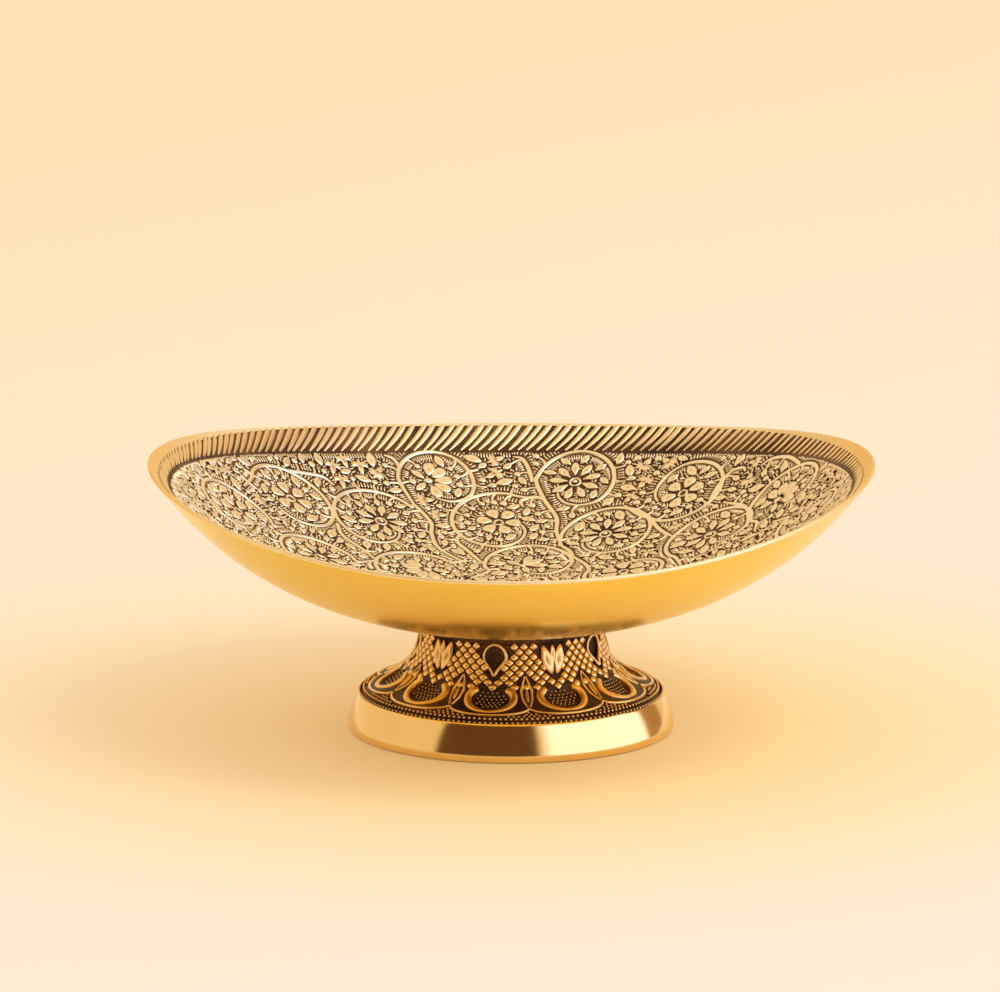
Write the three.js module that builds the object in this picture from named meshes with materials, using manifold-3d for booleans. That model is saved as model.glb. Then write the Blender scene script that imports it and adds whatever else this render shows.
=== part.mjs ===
// A footed brass bowl: a round chased dish, pressed at two sides into a shallow boat,
// and bolted to a hollow cast foot. Millimetres, +Z up. The origin is the centre of the
// foot's base on the table, and +X points to one of the two raised tips.
import * as THREE from 'three';
import { mergeVertices } from 'three/addons/utils/BufferGeometryUtils.js';
import Module from 'manifold-3d';

const wasm = await Module();
wasm.setup();

// Dish
const DISH_HALF_LENGTH = 99.4; // centre to the edge at a raised tip, along X
const DISH_HALF_WIDTH = 104.3; // centre to the edge at a low side, along Y
const DISH_WALL = 2;
const SIDE_RISE = 31.2; // centre of the underside to the edge at a low side
const TIP_RISE = 42.1; // centre of the underside to the edge at a raised tip
const TIP_SHARPNESS = 2.34; // how late the edge starts to climb towards a tip
const ROUND_SHARE = 0.54; // share of the rise that is parabolic; the rest steepens at the edge
const SEAT_DEPTH = 0.4; // turned seat under the dish, at its centre

// Border of slanted strokes chased into the inside, under the lip
const STROKE_COUNT = 216;
const BORDER_MARGIN = 1.2; // plain wall between the edge and the strokes' full depth
const BORDER_WIDTH = 8.3; // down the wall
const STROKE_DEPTH = 0.45;
const STROKE_LEAN = 24; // degrees from straight down the wall
const STROKE_TAPER = 0.6; // length over which a stroke runs out at each end

// Foot
const FOOT_HEIGHT = 31.2;
const NECK_RADIUS = 25.5;
const NECK_LENGTH = 4.2; // straight neck above the flare
const SHOULDER_RADIUS = 41.9;
const SHOULDER_HEIGHT = 10.3; // top of the polished band
const SHOULDER_ROUND = 1.7; // how far the flare rolls over before the band starts
const BAND_RADIUS = 45;
const BAND_LIP_HEIGHT = 2.4; // height of the widest part of the band
const BASE_RADIUS = 43.9;
const BASE_RING_WIDTH = 3.4;
const FOOT_WALL = 3;
const WEB_THICKNESS = 4;

// Relief on the foot. A place on its side runs from 0, under the collar, to 1, at the shoulder.
const COLLAR_HEIGHT = 2.2;
const COLLAR_EDGE = 0.3; // height of the collar's lower edge
const LATTICE_ROWS = 8; // half diamonds down the side
const LATTICE_END = 0.52;
const LATTICE_DEPTH = 0.5;
const SCALLOP_COUNT = 10;
const SCALLOP_TURN = 8; // degrees from the front to the nearest cusp
const SCALLOP_CUSP = 0.8;
const SCALLOP_BOTTOM = 0.93;
const SCALLOP_PROUD = 0.6; // apron above the sunk ring under it
const SCALLOP_EDGE = 0.02; // share of the side that the apron's edge slopes over
const PIT_PLACE = 0.69;
const PIT_HALF_WIDTH = 4.8;
const PIT_HALF_HEIGHT = 3.3;
const PIT_DEPTH = 1.3;
const SPEAR_PLACE = 0.66;
const SPEAR_HALF_WIDTH = 1.6;
const SPEAR_HALF_LENGTH = 4;
const SPEAR_PROUD = 0.8;
const MOTIF_PLACE = 0.22; // leaves and teardrop hollows take turns above the pits
const MOTIF_HALF_WIDTH = 3;
const MOTIF_HALF_LENGTH = 4.4;
const MOTIF_PROUD = 0.9;

// Stud, washers and nut inside the foot
const STUD_DIAMETER = 6;
const STUD_TAIL = 3; // stud left showing under the nut
const STUD_CHAMFER = 0.8;
const WASHER_DIAMETER = 18;
const WASHER_THICKNESS = 1.6;
const SPRING_WASHER_DIAMETER = 11;
const SPRING_WASHER_THICKNESS = 1.6;
const SPRING_WASHER_SLOT = 1.2;
const SPRING_WASHER_SLANT = 25; // degrees
const NUT_ACROSS_FLATS = 10;
const NUT_THICKNESS = 5;
const NUT_CHAMFER_ANGLE = 30; // degrees
const FIT_CLEARANCE = 0.3; // between the stud and each hole that it passes

// Facets
const CENTRE_COLUMNS = 24;
const DISH_COLUMNS = 96;
const DISH_RINGS = 7;
const LIP_STEPS = 4;
const FOOT_COLUMNS = 100;
const FOOT_INSIDE_COLUMNS = 40;
const SIDE_INSIDE_STEPS = 4;
const BAND_STEPS = 4;
const HARDWARE_COLUMNS = 24;

const dishBase = FOOT_HEIGHT + SEAT_DEPTH;
const webBottom = FOOT_HEIGHT - WEB_THICKNESS;
const studRadius = STUD_DIAMETER / 2;
const holeRadius = studRadius + FIT_CLEARANCE;

const polishedBrass = { color: 0xe0ac57, metalness: 1, roughness: 0.28 };
const antiqueBrass = { color: 0xc79a52, metalness: 1, roughness: 0.42 };
const plainBrass = { color: 0xc9a052, metalness: 1, roughness: 0.4 };
const zincSteel = { color: 0xb9bcc0, metalness: 1, roughness: 0.38 };

// Shared work on solids

function toSolid(geometry) {
  geometry.deleteAttribute('normal');
  geometry.deleteAttribute('uv');
  const merged = mergeVertices(geometry, 1e-4);
  const corners = merged.index.array;
  const triangles = [];
  for (let i = 0; i < corners.length; i += 3) {
    const [a, b, c] = [corners[i], corners[i + 1], corners[i + 2]];
    if (a !== b && b !== c && c !== a) triangles.push(a, b, c);
  }
  const solid = new wasm.Manifold(new wasm.Mesh({
    numProp: 3,
    vertProperties: new Float32Array(merged.attributes.position.array),
    triVerts: new Uint32Array(triangles),
  }));
  return solid;
}

function toGeometry(solid) {
  const mesh = solid.getMesh();
  const geometry = new THREE.BufferGeometry();
  geometry.setAttribute('position', new THREE.BufferAttribute(new Float32Array(mesh.vertProperties), 3));
  geometry.setIndex(new THREE.BufferAttribute(new Uint32Array(mesh.triVerts), 1));
  geometry.computeVertexNormals();
  return geometry;
}

// Turns a profile of [radius, height] points about Z. The points run up the outside.
function turned(profile, columns) {
  const points = profile.map(([radius, height]) => new THREE.Vector2(radius, height));
  return new THREE.LatheGeometry(points, columns).rotateX(Math.PI / 2);
}

function rod(radius, bottom, top, columns = HARDWARE_COLUMNS) {
  return turned([[0, bottom], [radius, bottom], [radius, top], [0, top]], columns);
}

// Joins rings of points, each listed anticlockwise round Z, into one surface. A point's w is how
// proud it stands. Rings may differ in count, and a ring of one point closes an end. Between rings
// of one count each facet is folded along its deeper diagonal, so that proud points make pyramids.
function stitched(rings, closed = false) {
  const points = rings.flat();
  const joined = closed ? [...rings, rings[0]] : rings;
  const index = [];
  let start = 0;
  for (let k = 0; k + 1 < joined.length; k++) {
    const count = joined[k].length;
    const nextCount = joined[k + 1].length;
    const nextStart = (start + count) % points.length;
    let i = count === 1 ? 1 : 0;
    let j = nextCount === 1 ? 1 : 0;
    while (i < count || j < nextCount) {
      const here = start + i % count;
      const hereNext = start + (i + 1) % count;
      const there = nextStart + j % nextCount;
      const thereNext = nextStart + (j + 1) % nextCount;
      if (count === nextCount) {
        const deep = points[here].w + points[thereNext].w < points[hereNext].w + points[there].w;
        if (deep) index.push(here, hereNext, thereNext, here, thereNext, there);
        else index.push(here, hereNext, there, hereNext, thereNext, there);
        i++;
        j++;
      } else if (j >= nextCount || (i < count && (i + 0.5) / count <= (j + 0.5) / nextCount)) {
        index.push(here, hereNext, there);
        i++;
      } else {
        index.push(here, thereNext, there);
        j++;
      }
    }
    start = nextStart;
  }
  const geometry = new THREE.BufferGeometry();
  const places = points.flatMap((point) => [point.x, point.y, point.z]);
  geometry.setAttribute('position', new THREE.Float32BufferAttribute(places, 3));
  geometry.setIndex(index);
  return geometry;
}

// Dish

function undersideHeight(x, y) {
  const towardsTip = x / DISH_HALF_LENGTH;
  const reach = Math.hypot(towardsTip, y / DISH_HALF_WIDTH);
  if (reach === 0) return dishBase;
  const tipShare = Math.pow(Math.abs(towardsTip) / reach, TIP_SHARPNESS);
  const rise = SIDE_RISE + (TIP_RISE - SIDE_RISE) * tipShare;
  return dishBase + rise * (ROUND_SHARE * reach ** 2 + (1 - ROUND_SHARE) * reach ** 4);
}

// A point in the dish's wall: reach is 0 at the centre and 1 at the edge, and depth is
// measured square to the underside.
function wallPoint(reach, angle, depth) {
  const x = DISH_HALF_LENGTH * reach * Math.cos(angle);
  const y = DISH_HALF_WIDTH * reach * Math.sin(angle);
  const step = 0.01;
  const slopeX = (undersideHeight(x + step, y) - undersideHeight(x - step, y)) / (2 * step);
  const slopeY = (undersideHeight(x, y + step) - undersideHeight(x, y - step)) / (2 * step);
  const up = depth / Math.hypot(1, slopeX, slopeY);
  return new THREE.Vector3(x - slopeX * up, y - slopeY * up, undersideHeight(x, y) + up);
}

// Length of wall that one unit of reach spans at the edge
function edgeStretch(angle) {
  const step = 0.001;
  return wallPoint(1, angle, 0).distanceTo(wallPoint(1 - step, angle, 0)) / step;
}

// A ring round the dish. The wall's points beyond the edge are given in millimetres past it.
function dishRing(columns, reach, depth, past = 0) {
  const ring = [];
  for (let column = 0; column < columns; column++) {
    const angle = 2 * Math.PI * column / columns;
    const point = wallPoint(reach + past / edgeStretch(angle), angle, depth);
    ring.push(new THREE.Vector4(point.x, point.y, point.z, 0));
  }
  return ring;
}

// Rings from the centre to the last one inside the edge, finer in columns outwards
function wallRings(depth, lastReach) {
  const rings = [dishRing(1, 0, depth)];
  for (let i = 1; i <= DISH_RINGS; i++) {
    const columns = Math.min(DISH_COLUMNS, CENTRE_COLUMNS * 2 ** (i - 1));
    rings.push(dishRing(columns, lastReach * Math.pow(i / DISH_RINGS, 0.8), depth));
  }
  return rings;
}

// The border: one column on each stroke's ridge and one in its groove, so its rings are folds.
// A ring lies some way down the wall from the edge.
function borderRing(down) {
  const ring = [];
  const lean = Math.tan(THREE.MathUtils.degToRad(STROKE_LEAN));
  const radius = (DISH_HALF_LENGTH + DISH_HALF_WIDTH) / 2;
  const slant = (down - BORDER_MARGIN - BORDER_WIDTH / 2) * lean / radius;
  for (let column = 0; column < 2 * STROKE_COUNT; column++) {
    const angle = Math.PI * column / STROKE_COUNT + slant;
    const proud = column % 2 ? -STROKE_DEPTH : 0;
    const point = wallPoint(1 - down / edgeStretch(angle), angle, DISH_WALL + proud);
    ring.push(new THREE.Vector4(point.x, point.y, point.z, proud));
  }
  return ring;
}

function makeDish() {
  const borderEnd = BORDER_MARGIN + BORDER_WIDTH;
  const outside = wallRings(0, 1);
  const lipRadius = DISH_WALL / 2;
  for (let i = 1; i <= LIP_STEPS; i++) {
    const turn = Math.PI * i / LIP_STEPS;
    outside.push(dishRing(DISH_COLUMNS, 1, lipRadius * (1 - Math.cos(turn)), lipRadius * Math.sin(turn)));
  }
  const border = [
    dishRing(DISH_COLUMNS, 1, DISH_WALL, STROKE_TAPER - BORDER_MARGIN),
    borderRing(BORDER_MARGIN),
    borderRing(borderEnd),
  ];
  const innerReach = 1 - (borderEnd + STROKE_TAPER) / edgeStretch(Math.PI / 2);
  const inside = wallRings(DISH_WALL, innerReach).reverse();
  const shell = toSolid(stitched([...outside, ...border, ...inside]));
  const seat = toSolid(rod(NECK_RADIUS, FOOT_HEIGHT, dishBase + DISH_WALL / 2, FOOT_COLUMNS));
  return toGeometry(shell.add(seat));
}

// Foot

// The patterned side: a straight neck under the collar, then the flare
function sidePath() {
  const top = new THREE.Vector2(NECK_RADIUS, FOOT_HEIGHT - COLLAR_HEIGHT);
  const bend = new THREE.Vector2(NECK_RADIUS, FOOT_HEIGHT - NECK_LENGTH);
  const end = new THREE.Vector2(SHOULDER_RADIUS - SHOULDER_ROUND, SHOULDER_HEIGHT + SHOULDER_ROUND);
  const spread = end.x - bend.x;
  const drop = bend.y - end.y;
  const path = new THREE.CurvePath();
  path.add(new THREE.LineCurve(top, bend));
  path.add(new THREE.CubicBezierCurve(
    bend,
    new THREE.Vector2(bend.x + 0.03 * spread, bend.y - 0.43 * drop),
    new THREE.Vector2(bend.x + 0.37 * spread, bend.y - 0.7 * drop),
    end,
  ));
  return path;
}

const side = sidePath();

// A point on the foot's side, proud of it along its outward normal
function sidePoint(place, proud) {
  const point = side.getPointAt(place);
  const down = side.getTangentAt(place);
  return new THREE.Vector2(point.x - down.y * proud, point.y + down.x * proud);
}

const band = new THREE.CubicBezierCurve(
  new THREE.Vector2(SHOULDER_RADIUS, SHOULDER_HEIGHT),
  new THREE.Vector2(
    (SHOULDER_RADIUS + BAND_RADIUS) / 2,
    SHOULDER_HEIGHT - 0.25 * (SHOULDER_HEIGHT - BAND_LIP_HEIGHT),
  ),
  new THREE.Vector2(BAND_RADIUS, BAND_LIP_HEIGHT + 0.4 * (SHOULDER_HEIGHT - BAND_LIP_HEIGHT)),
  new THREE.Vector2(BAND_RADIUS, BAND_LIP_HEIGHT),
);

const baseRound = new THREE.QuadraticBezierCurve(
  new THREE.Vector2(BAND_RADIUS, BAND_LIP_HEIGHT),
  new THREE.Vector2(BAND_RADIUS, 0),
  new THREE.Vector2(BASE_RADIUS, 0),
);

const scallopAngle = 2 * Math.PI / SCALLOP_COUNT;
const firstCusp = THREE.MathUtils.degToRad(SCALLOP_TURN - 90);

// The apron's lower edge: half-ellipse scallops between cusps
function scallopEdge(angle) {
  const turns = (angle - firstCusp) / scallopAngle;
  const across = 2 * (turns - Math.floor(turns + 1e-6)) - 1;
  return SCALLOP_CUSP + (SCALLOP_BOTTOM - SCALLOP_CUSP) * Math.sqrt(Math.max(0, 1 - across ** 2));
}

// A ring round the foot, from a row that gives each column's [radius, height, proud]
function footRing(columns, row) {
  const ring = [];
  for (let column = 0; column < columns; column++) {
    const angle = firstCusp + 2 * Math.PI * column / columns;
    const [radius, height, proud = 0] = row(column, angle);
    ring.push(new THREE.Vector4(radius * Math.cos(angle), radius * Math.sin(angle), height, proud));
  }
  return ring;
}

function sideRow(place, proud) {
  const point = sidePoint(place, proud);
  return [point.x, point.y, proud];
}

// Rings from the base up the outside, over the top, and down through the hole and the hollow
function footBody() {
  const outer = (row) => footRing(FOOT_COLUMNS, row);
  const inner = (row) => footRing(FOOT_INSIDE_COLUMNS, row);
  const turnedPart = [...band.getPoints(BAND_STEPS), ...baseRound.getPoints(3).slice(1)].reverse();
  const rings = turnedPart.map((point) => outer(() => [point.x, point.y]));
  rings.push(outer(() => sideRow(1, 0)));
  rings.push(outer((column, angle) => sideRow(scallopEdge(angle) + SCALLOP_EDGE, 0)));
  rings.push(outer((column, angle) => sideRow(scallopEdge(angle), SCALLOP_PROUD)));
  rings.push(outer(() => sideRow(LATTICE_END + SCALLOP_EDGE, SCALLOP_PROUD)));
  for (let row = LATTICE_ROWS; row >= 0; row--) {
    const place = LATTICE_END * row / LATTICE_ROWS;
    rings.push(outer((column) => sideRow(place, (column + row) % 2 ? -LATTICE_DEPTH : 0)));
  }
  rings.push(outer(() => [NECK_RADIUS, FOOT_HEIGHT - COLLAR_HEIGHT + COLLAR_EDGE]));
  rings.push(outer(() => [NECK_RADIUS, FOOT_HEIGHT]));
  rings.push(inner(() => [holeRadius, FOOT_HEIGHT]));
  rings.push(inner(() => [holeRadius, webBottom]));
  rings.push(inner(() => [NECK_RADIUS - FOOT_WALL, webBottom]));
  for (let step = 0; step <= SIDE_INSIDE_STEPS; step++) {
    rings.push(inner(() => sideRow(step / SIDE_INSIDE_STEPS, -FOOT_WALL)));
  }
  const ringInside = BASE_RADIUS - BASE_RING_WIDTH;
  rings.push(inner(() => [ringInside, SHOULDER_HEIGHT - FOOT_WALL]));
  rings.push(inner(() => [ringInside, 0]));
  return stitched(rings, true);
}

// Sets a small shape of revolution into the foot's side: across, along the side and out of it
function setInSide(shape, halfWidth, halfLength, depth, place, angle) {
  const down = side.getTangentAt(place);
  const point = side.getPointAt(place);
  const outward = new THREE.Vector3(-down.y, 0, down.x);
  const along = new THREE.Vector3(down.x, 0, down.y);
  const across = new THREE.Vector3(0, 1, 0);
  const turn = new THREE.Matrix4().makeBasis(across, along, outward);
  if (turn.determinant() < 0) turn.makeBasis(across.negate(), along, outward);
  const matrix = new THREE.Matrix4().makeRotationZ(angle)
    .multiply(new THREE.Matrix4().makeTranslation(point.x, 0, point.y))
    .multiply(turn)
    .multiply(new THREE.Matrix4().makeScale(halfWidth, halfLength, depth));
  return toSolid(shape.clone().applyMatrix4(matrix));
}

function makeFoot() {
  const round = new THREE.SphereGeometry(1, 10, 5);
  const pointed = new THREE.OctahedronGeometry(1);
  let foot = toSolid(footBody());
  for (let i = 0; i < SCALLOP_COUNT; i++) {
    const cusp = firstCusp + i * scallopAngle;
    const middle = cusp + scallopAngle / 2;
    foot = foot.subtract(setInSide(round, PIT_HALF_WIDTH, PIT_HALF_HEIGHT, PIT_DEPTH, PIT_PLACE, middle));
    foot = foot.add(setInSide(
      pointed, SPEAR_HALF_WIDTH, SPEAR_HALF_LENGTH, SPEAR_PROUD + SCALLOP_PROUD, SPEAR_PLACE, cusp,
    ));
    const motif = setInSide(
      i % 2 ? round : pointed, MOTIF_HALF_WIDTH, MOTIF_HALF_LENGTH, MOTIF_PROUD, MOTIF_PLACE, middle,
    );
    foot = i % 2 ? foot.subtract(motif) : foot.add(motif);
  }
  return toGeometry(foot);
}

// Stud, washers and nut, stacked downwards from the foot's web

const washerTop = webBottom;
const springWasherTop = washerTop - WASHER_THICKNESS;
const nutTop = springWasherTop - SPRING_WASHER_THICKNESS;
const nutBottom = nutTop - NUT_THICKNESS;
const studBottom = nutBottom - STUD_TAIL;

function makeStud() {
  return turned([
    [0, studBottom],
    [studRadius - STUD_CHAMFER, studBottom],
    [studRadius, studBottom + STUD_CHAMFER],
    [studRadius, FOOT_HEIGHT],
    [0, FOOT_HEIGHT],
  ], HARDWARE_COLUMNS);
}

function ring(outerRadius, bottom, top) {
  return turned([
    [holeRadius, bottom],
    [outerRadius, bottom],
    [outerRadius, top],
    [holeRadius, top],
    [holeRadius, bottom],
  ], HARDWARE_COLUMNS);
}

function makeSpringWasher() {
  const outerRadius = SPRING_WASHER_DIAMETER / 2;
  const bottom = springWasherTop - SPRING_WASHER_THICKNESS;
  const middle = (springWasherTop + bottom) / 2;
  const slot = new THREE.BoxGeometry(outerRadius * 2, SPRING_WASHER_SLOT, SPRING_WASHER_THICKNESS * 3);
  slot.rotateX(THREE.MathUtils.degToRad(SPRING_WASHER_SLANT));
  slot.translate(outerRadius, 0, middle);
  return toGeometry(toSolid(ring(outerRadius, bottom, springWasherTop)).subtract(toSolid(slot)));
}

function makeNut() {
  const cornerRadius = NUT_ACROSS_FLATS / 2 / Math.cos(Math.PI / 6);
  const flatRadius = NUT_ACROSS_FLATS / 2;
  const fall = (cornerRadius - flatRadius) * Math.tan(THREE.MathUtils.degToRad(NUT_CHAMFER_ANGLE));
  const hexagon = toSolid(rod(cornerRadius, nutBottom, nutTop, 6));
  const chamfered = toSolid(turned([
    [0, nutBottom],
    [flatRadius, nutBottom],
    [cornerRadius + FIT_CLEARANCE, nutBottom + fall * 1.5],
    [cornerRadius + FIT_CLEARANCE, nutTop - fall * 1.5],
    [flatRadius, nutTop],
    [0, nutTop],
  ], HARDWARE_COLUMNS));
  const bore = toSolid(rod(holeRadius, nutBottom - 1, nutTop + 1));
  return toGeometry(hexagon.intersect(chamfered).subtract(bore));
}

// Assembly

const bowl = new THREE.Group();

function addPiece(name, geometry, finish) {
  const piece = new THREE.Mesh(geometry, new THREE.MeshStandardMaterial(finish));
  piece.name = name;
  bowl.add(piece);
}

addPiece('dish', makeDish(), polishedBrass);
addPiece('foot', makeFoot(), antiqueBrass);
addPiece('fixing_stud', makeStud(), plainBrass);
addPiece('flat_washer', ring(WASHER_DIAMETER / 2, springWasherTop, washerTop), plainBrass);
addPiece('spring_washer', makeSpringWasher(), zincSteel);
addPiece('hex_nut', makeNut(), plainBrass);

export default bowl;
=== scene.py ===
import math

import bpy
import numpy as np
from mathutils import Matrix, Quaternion, Vector


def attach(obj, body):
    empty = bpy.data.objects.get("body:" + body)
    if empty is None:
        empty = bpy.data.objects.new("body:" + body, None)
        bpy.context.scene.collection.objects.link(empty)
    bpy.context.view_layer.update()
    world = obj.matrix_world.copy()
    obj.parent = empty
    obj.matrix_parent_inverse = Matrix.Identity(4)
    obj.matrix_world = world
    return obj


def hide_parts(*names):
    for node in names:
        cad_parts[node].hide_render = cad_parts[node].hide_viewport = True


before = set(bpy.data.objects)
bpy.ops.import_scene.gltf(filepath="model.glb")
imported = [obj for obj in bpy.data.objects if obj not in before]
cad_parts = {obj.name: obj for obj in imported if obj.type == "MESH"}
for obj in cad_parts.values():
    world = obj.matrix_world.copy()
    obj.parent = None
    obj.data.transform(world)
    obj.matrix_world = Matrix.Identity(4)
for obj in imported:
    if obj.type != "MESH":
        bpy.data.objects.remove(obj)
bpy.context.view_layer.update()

# Camera
# It stands 3 m in front of the bowl, a little above the rim, with a long lens, as for a catalogue
# picture of small metalwork.
CAMERA_DISTANCE = 3.0
CAMERA_ELEVATION = math.radians(12.5)
CAMERA_LENS = 393.2  # mm, on a 36 mm sensor
CAMERA_ROLL = math.radians(0.05)
CAMERA_PIVOT = Vector((0, 0, 0.038))
CAMERA_AIM = Vector((-0.0031, 0, 0.06485))

scene = bpy.context.scene
scene.view_settings.view_transform = "Standard"
lens = bpy.data.cameras.new("camera")
lens.lens = CAMERA_LENS
camera = bpy.data.objects.new("camera", lens)
camera.location = CAMERA_PIVOT + CAMERA_DISTANCE * Vector(
    (0, -math.cos(CAMERA_ELEVATION), math.sin(CAMERA_ELEVATION)))
facing = (CAMERA_AIM - camera.location).to_track_quat("-Z", "Y")
camera.rotation_mode = "QUATERNION"
camera.rotation_quaternion = facing @ Quaternion((0, 0, 1), CAMERA_ROLL)
scene.collection.objects.link(camera)
scene.camera = camera

# Dish shell
# A round sheet of brass, 2 mm thick with a 1.2 mm lip, spun to a shallow bowl and then pressed at
# two sides, so that its tips stand 11 mm above its low sides. The outside is polished on the lathe;
# the inside is sunk where it was chased, and holds a brown-black patina there.
MM = 0.001
DISH_HALF_LENGTH = 99.4
DISH_HALF_WIDTH = 104.3
DISH_WALL = 2.0
LIP_WALL = 1.2
LIP_REACH = 0.14  # past the wall's end; with the gap it keeps the lip inside the CAD's thicker one
LIP_GAP = 0.005
LIP_STEPS = 8
DISH_BASE = 31.6  # underside at the middle
UNDERSIDE_FULLNESS = 0.55  # metal left under the middle, which runs out between these radii
FULLNESS_FROM = 86
FULLNESS_TO = 110
SEAT_HEIGHT = 31.2  # top of the foot
SEAT_RADIUS = 25.5
SIDE_RISE = 31.2
TIP_RISE = 42.1
TIP_SHARPNESS = 2.34
ROUND_SHARE = 0.54
SHELL_COLUMNS = 288
SHELL_RINGS = 34
SHELL_EDGE = 109.9  # radii on the flat sheet, here and for the border
LAST_REACH = 0.998  # share of the wall that rings cover, below the lip
GROUND_DEPTH = 0.4  # chased ground, below the rubbed tops
BORDER_DEPTH = 0.5
BORDER_OUTER = 109.5
BORDER_INNER = 100.3
TIP_MARGIN = 2.2  # how much lower the border starts at the tips, and how much higher it ends
TIP_NARROWING = 4.0
LINE_WIDTH = 0.7  # plain line under the border
TABLE_REACHES = 400


def linear(code):
    """The linear colour of an sRGB hex code."""
    parts = [int(code[i:i + 2], 16) / 255 for i in (0, 2, 4)]
    return [c / 12.92 if c <= 0.04045 else ((c + 0.055) / 1.055) ** 2.4 for c in parts] + [1]


def add(tree, kind, links=None, steps=(), **settings):
    """Adds a node with its own settings, its inputs linked or set, and a ramp's colour steps.

    A node among the links stands for its first output."""
    node = tree.nodes.new(kind)
    for name, value in settings.items():
        setattr(node, name, value)
    for name, value in (links or {}).items():
        value = value.outputs[0] if isinstance(value, bpy.types.Node) else value
        if isinstance(value, bpy.types.NodeSocket):
            tree.links.new(value, node.inputs[name])
        else:
            node.inputs[name].default_value = value
    for _ in steps[2:]:
        node.color_ramp.elements.new(0.5)
    for number, (place, code) in enumerate(steps):
        node.color_ramp.elements[number].position = place
        node.color_ramp.elements[number].color = linear(code)
    return node


def new_finish(name):
    """A material, its empty tree, and places on its piece in metres."""
    finish = bpy.data.materials.new(name)
    finish.use_nodes = True
    tree = finish.node_tree
    tree.nodes.clear()
    return finish, tree, add(tree, "ShaderNodeTexCoord").outputs["Object"]


def surfaced(finish, inputs, factor=None, steps=()):
    """Ends a material: colours by a factor where it has them, its surface and its output."""
    tree = finish.node_tree
    if steps:
        inputs = {"Base Color": add(tree, "ShaderNodeValToRGB", {"Fac": factor}, steps), **inputs}
    surface = add(tree, "ShaderNodeBsdfPrincipled", inputs)
    add(tree, "ShaderNodeOutputMaterial", {"Surface": surface})
    return finish


def satin_brass(name, steps, rough, spacing, bump, golden=None):
    """Brass cut and polished on the lathe: one warm colour that hardly varies, and fine rings.

    Golden gives the two distances to the sides between which the last colour takes over."""
    finish, tree, place = new_finish(name)
    parts = add(tree, "ShaderNodeSeparateXYZ", {0: place}).outputs
    square = add(tree, "ShaderNodeMath", {0: parts[0], 1: parts[0]}, operation="MULTIPLY")
    both = add(tree, "ShaderNodeMath", {0: parts[1], 1: parts[1], 2: square},
               operation="MULTIPLY_ADD")
    radius = add(tree, "ShaderNodeMath", {0: both}, operation="SQRT")
    ring = add(tree, "ShaderNodeCombineXYZ", {0: radius, 2: parts[2]})
    lines = add(tree, "ShaderNodeTexNoise", {
        "Vector": ring, "Scale": 1 / spacing, "Detail": 3.0, "Roughness": 0.6})
    if golden:
        aside = add(tree, "ShaderNodeMath", {0: parts[0]}, operation="ABSOLUTE")
        tone = add(tree, "ShaderNodeMapRange", {
            "Value": aside, "From Min": golden[0], "From Max": golden[1]})
    else:
        tone = add(tree, "ShaderNodeTexNoise", {"Vector": place, "Scale": 45.0, "Detail": 4.0})
    blend_level = add(tree, "ShaderNodeMapRange", {"Value": lines, "From Min": 0.3, "From Max": 0.7,
                                            "To Min": rough[0], "To Max": rough[1]})
    relief = add(tree, "ShaderNodeBump", {"Height": lines, "Strength": bump, "Distance": 0.0001})
    return surfaced(finish, {"Metallic": 1.0, "Roughness": blend_level, "Normal": relief}, tone, steps)


# Polished brass seen from outside: golden, satin-bright, with spun rings about 0.3 mm apart, which
# are drawn twice as coarse so that they show.
outside_finish = satin_brass("spun_polished_brass", ((0.3, "f8db6c"), (0.7, "fbe078")),
                             (0.19, 0.24), 0.0006, 0.02)
# The lip and the margin inside it: the same brass, made pale by a painted highlight along them,
# but less so at the tips, where it keeps its golden tone.
lip_finish = satin_brass("brass_lip_painted_highlight", ((0.0, "f8e8c0"), (0.45, "f6e0ac"), (1.0, "f8d48a")),
                         (0.58, 0.68), 0.0006, 0.05, golden=(0.068, 0.099))


def patina(name, steps, rough, grain):
    """Brass darkened by liver of sulphur in its hollows: a dull brown-black skin, finely grained."""
    finish, tree, place = new_finish(name)
    grit = add(tree, "ShaderNodeTexNoise", {"Vector": place, "Scale": 1 / grain, "Detail": 3.0})
    cloud = add(tree, "ShaderNodeTexNoise", {"Vector": place, "Scale": 60.0, "Detail": 2.0})
    mixed = add(tree, "ShaderNodeMath", {0: grit, 1: cloud}, operation="ADD")
    halved = add(tree, "ShaderNodeMath", {0: mixed, 1: 0.5}, operation="MULTIPLY")
    relief = add(tree, "ShaderNodeBump", {"Height": grit, "Strength": 0.4, "Distance": 0.0002})
    return surfaced(finish, {"Metallic": 0.7, "Roughness": rough, "Normal": relief}, halved, steps)


# Chased ground: dark brown with brass just showing through, grain about 0.5 mm.
ground_finish = patina("patinated_chased_ground", (
    (0.38, "342010"), (0.5, "5c3f23"), (0.62, "8f693e")), 0.5, 0.0005)


def unit(vectors):
    return vectors / np.linalg.norm(vectors, axis=-1, keepdims=True)


def polar(radius, angle, *height):
    """Points at a radius and an angle, and at a height where one is given."""
    return np.stack(np.broadcast_arrays(radius * np.cos(angle), radius * np.sin(angle), *height), -1)


def smooth_step(value, start, end):
    share = np.clip((value - start) / (end - start), 0, 1)
    return share * share * (3 - 2 * share)


def underside_height(x, y):
    toward_tip = x / DISH_HALF_LENGTH
    reach = np.hypot(toward_tip, y / DISH_HALF_WIDTH)
    tip_share = (np.abs(toward_tip) / np.maximum(reach, 1e-9)) ** TIP_SHARPNESS
    rise = SIDE_RISE + (TIP_RISE - SIDE_RISE) * tip_share
    return DISH_BASE + rise * (ROUND_SHARE * reach ** 2 + (1 - ROUND_SHARE) * reach ** 4)


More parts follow.
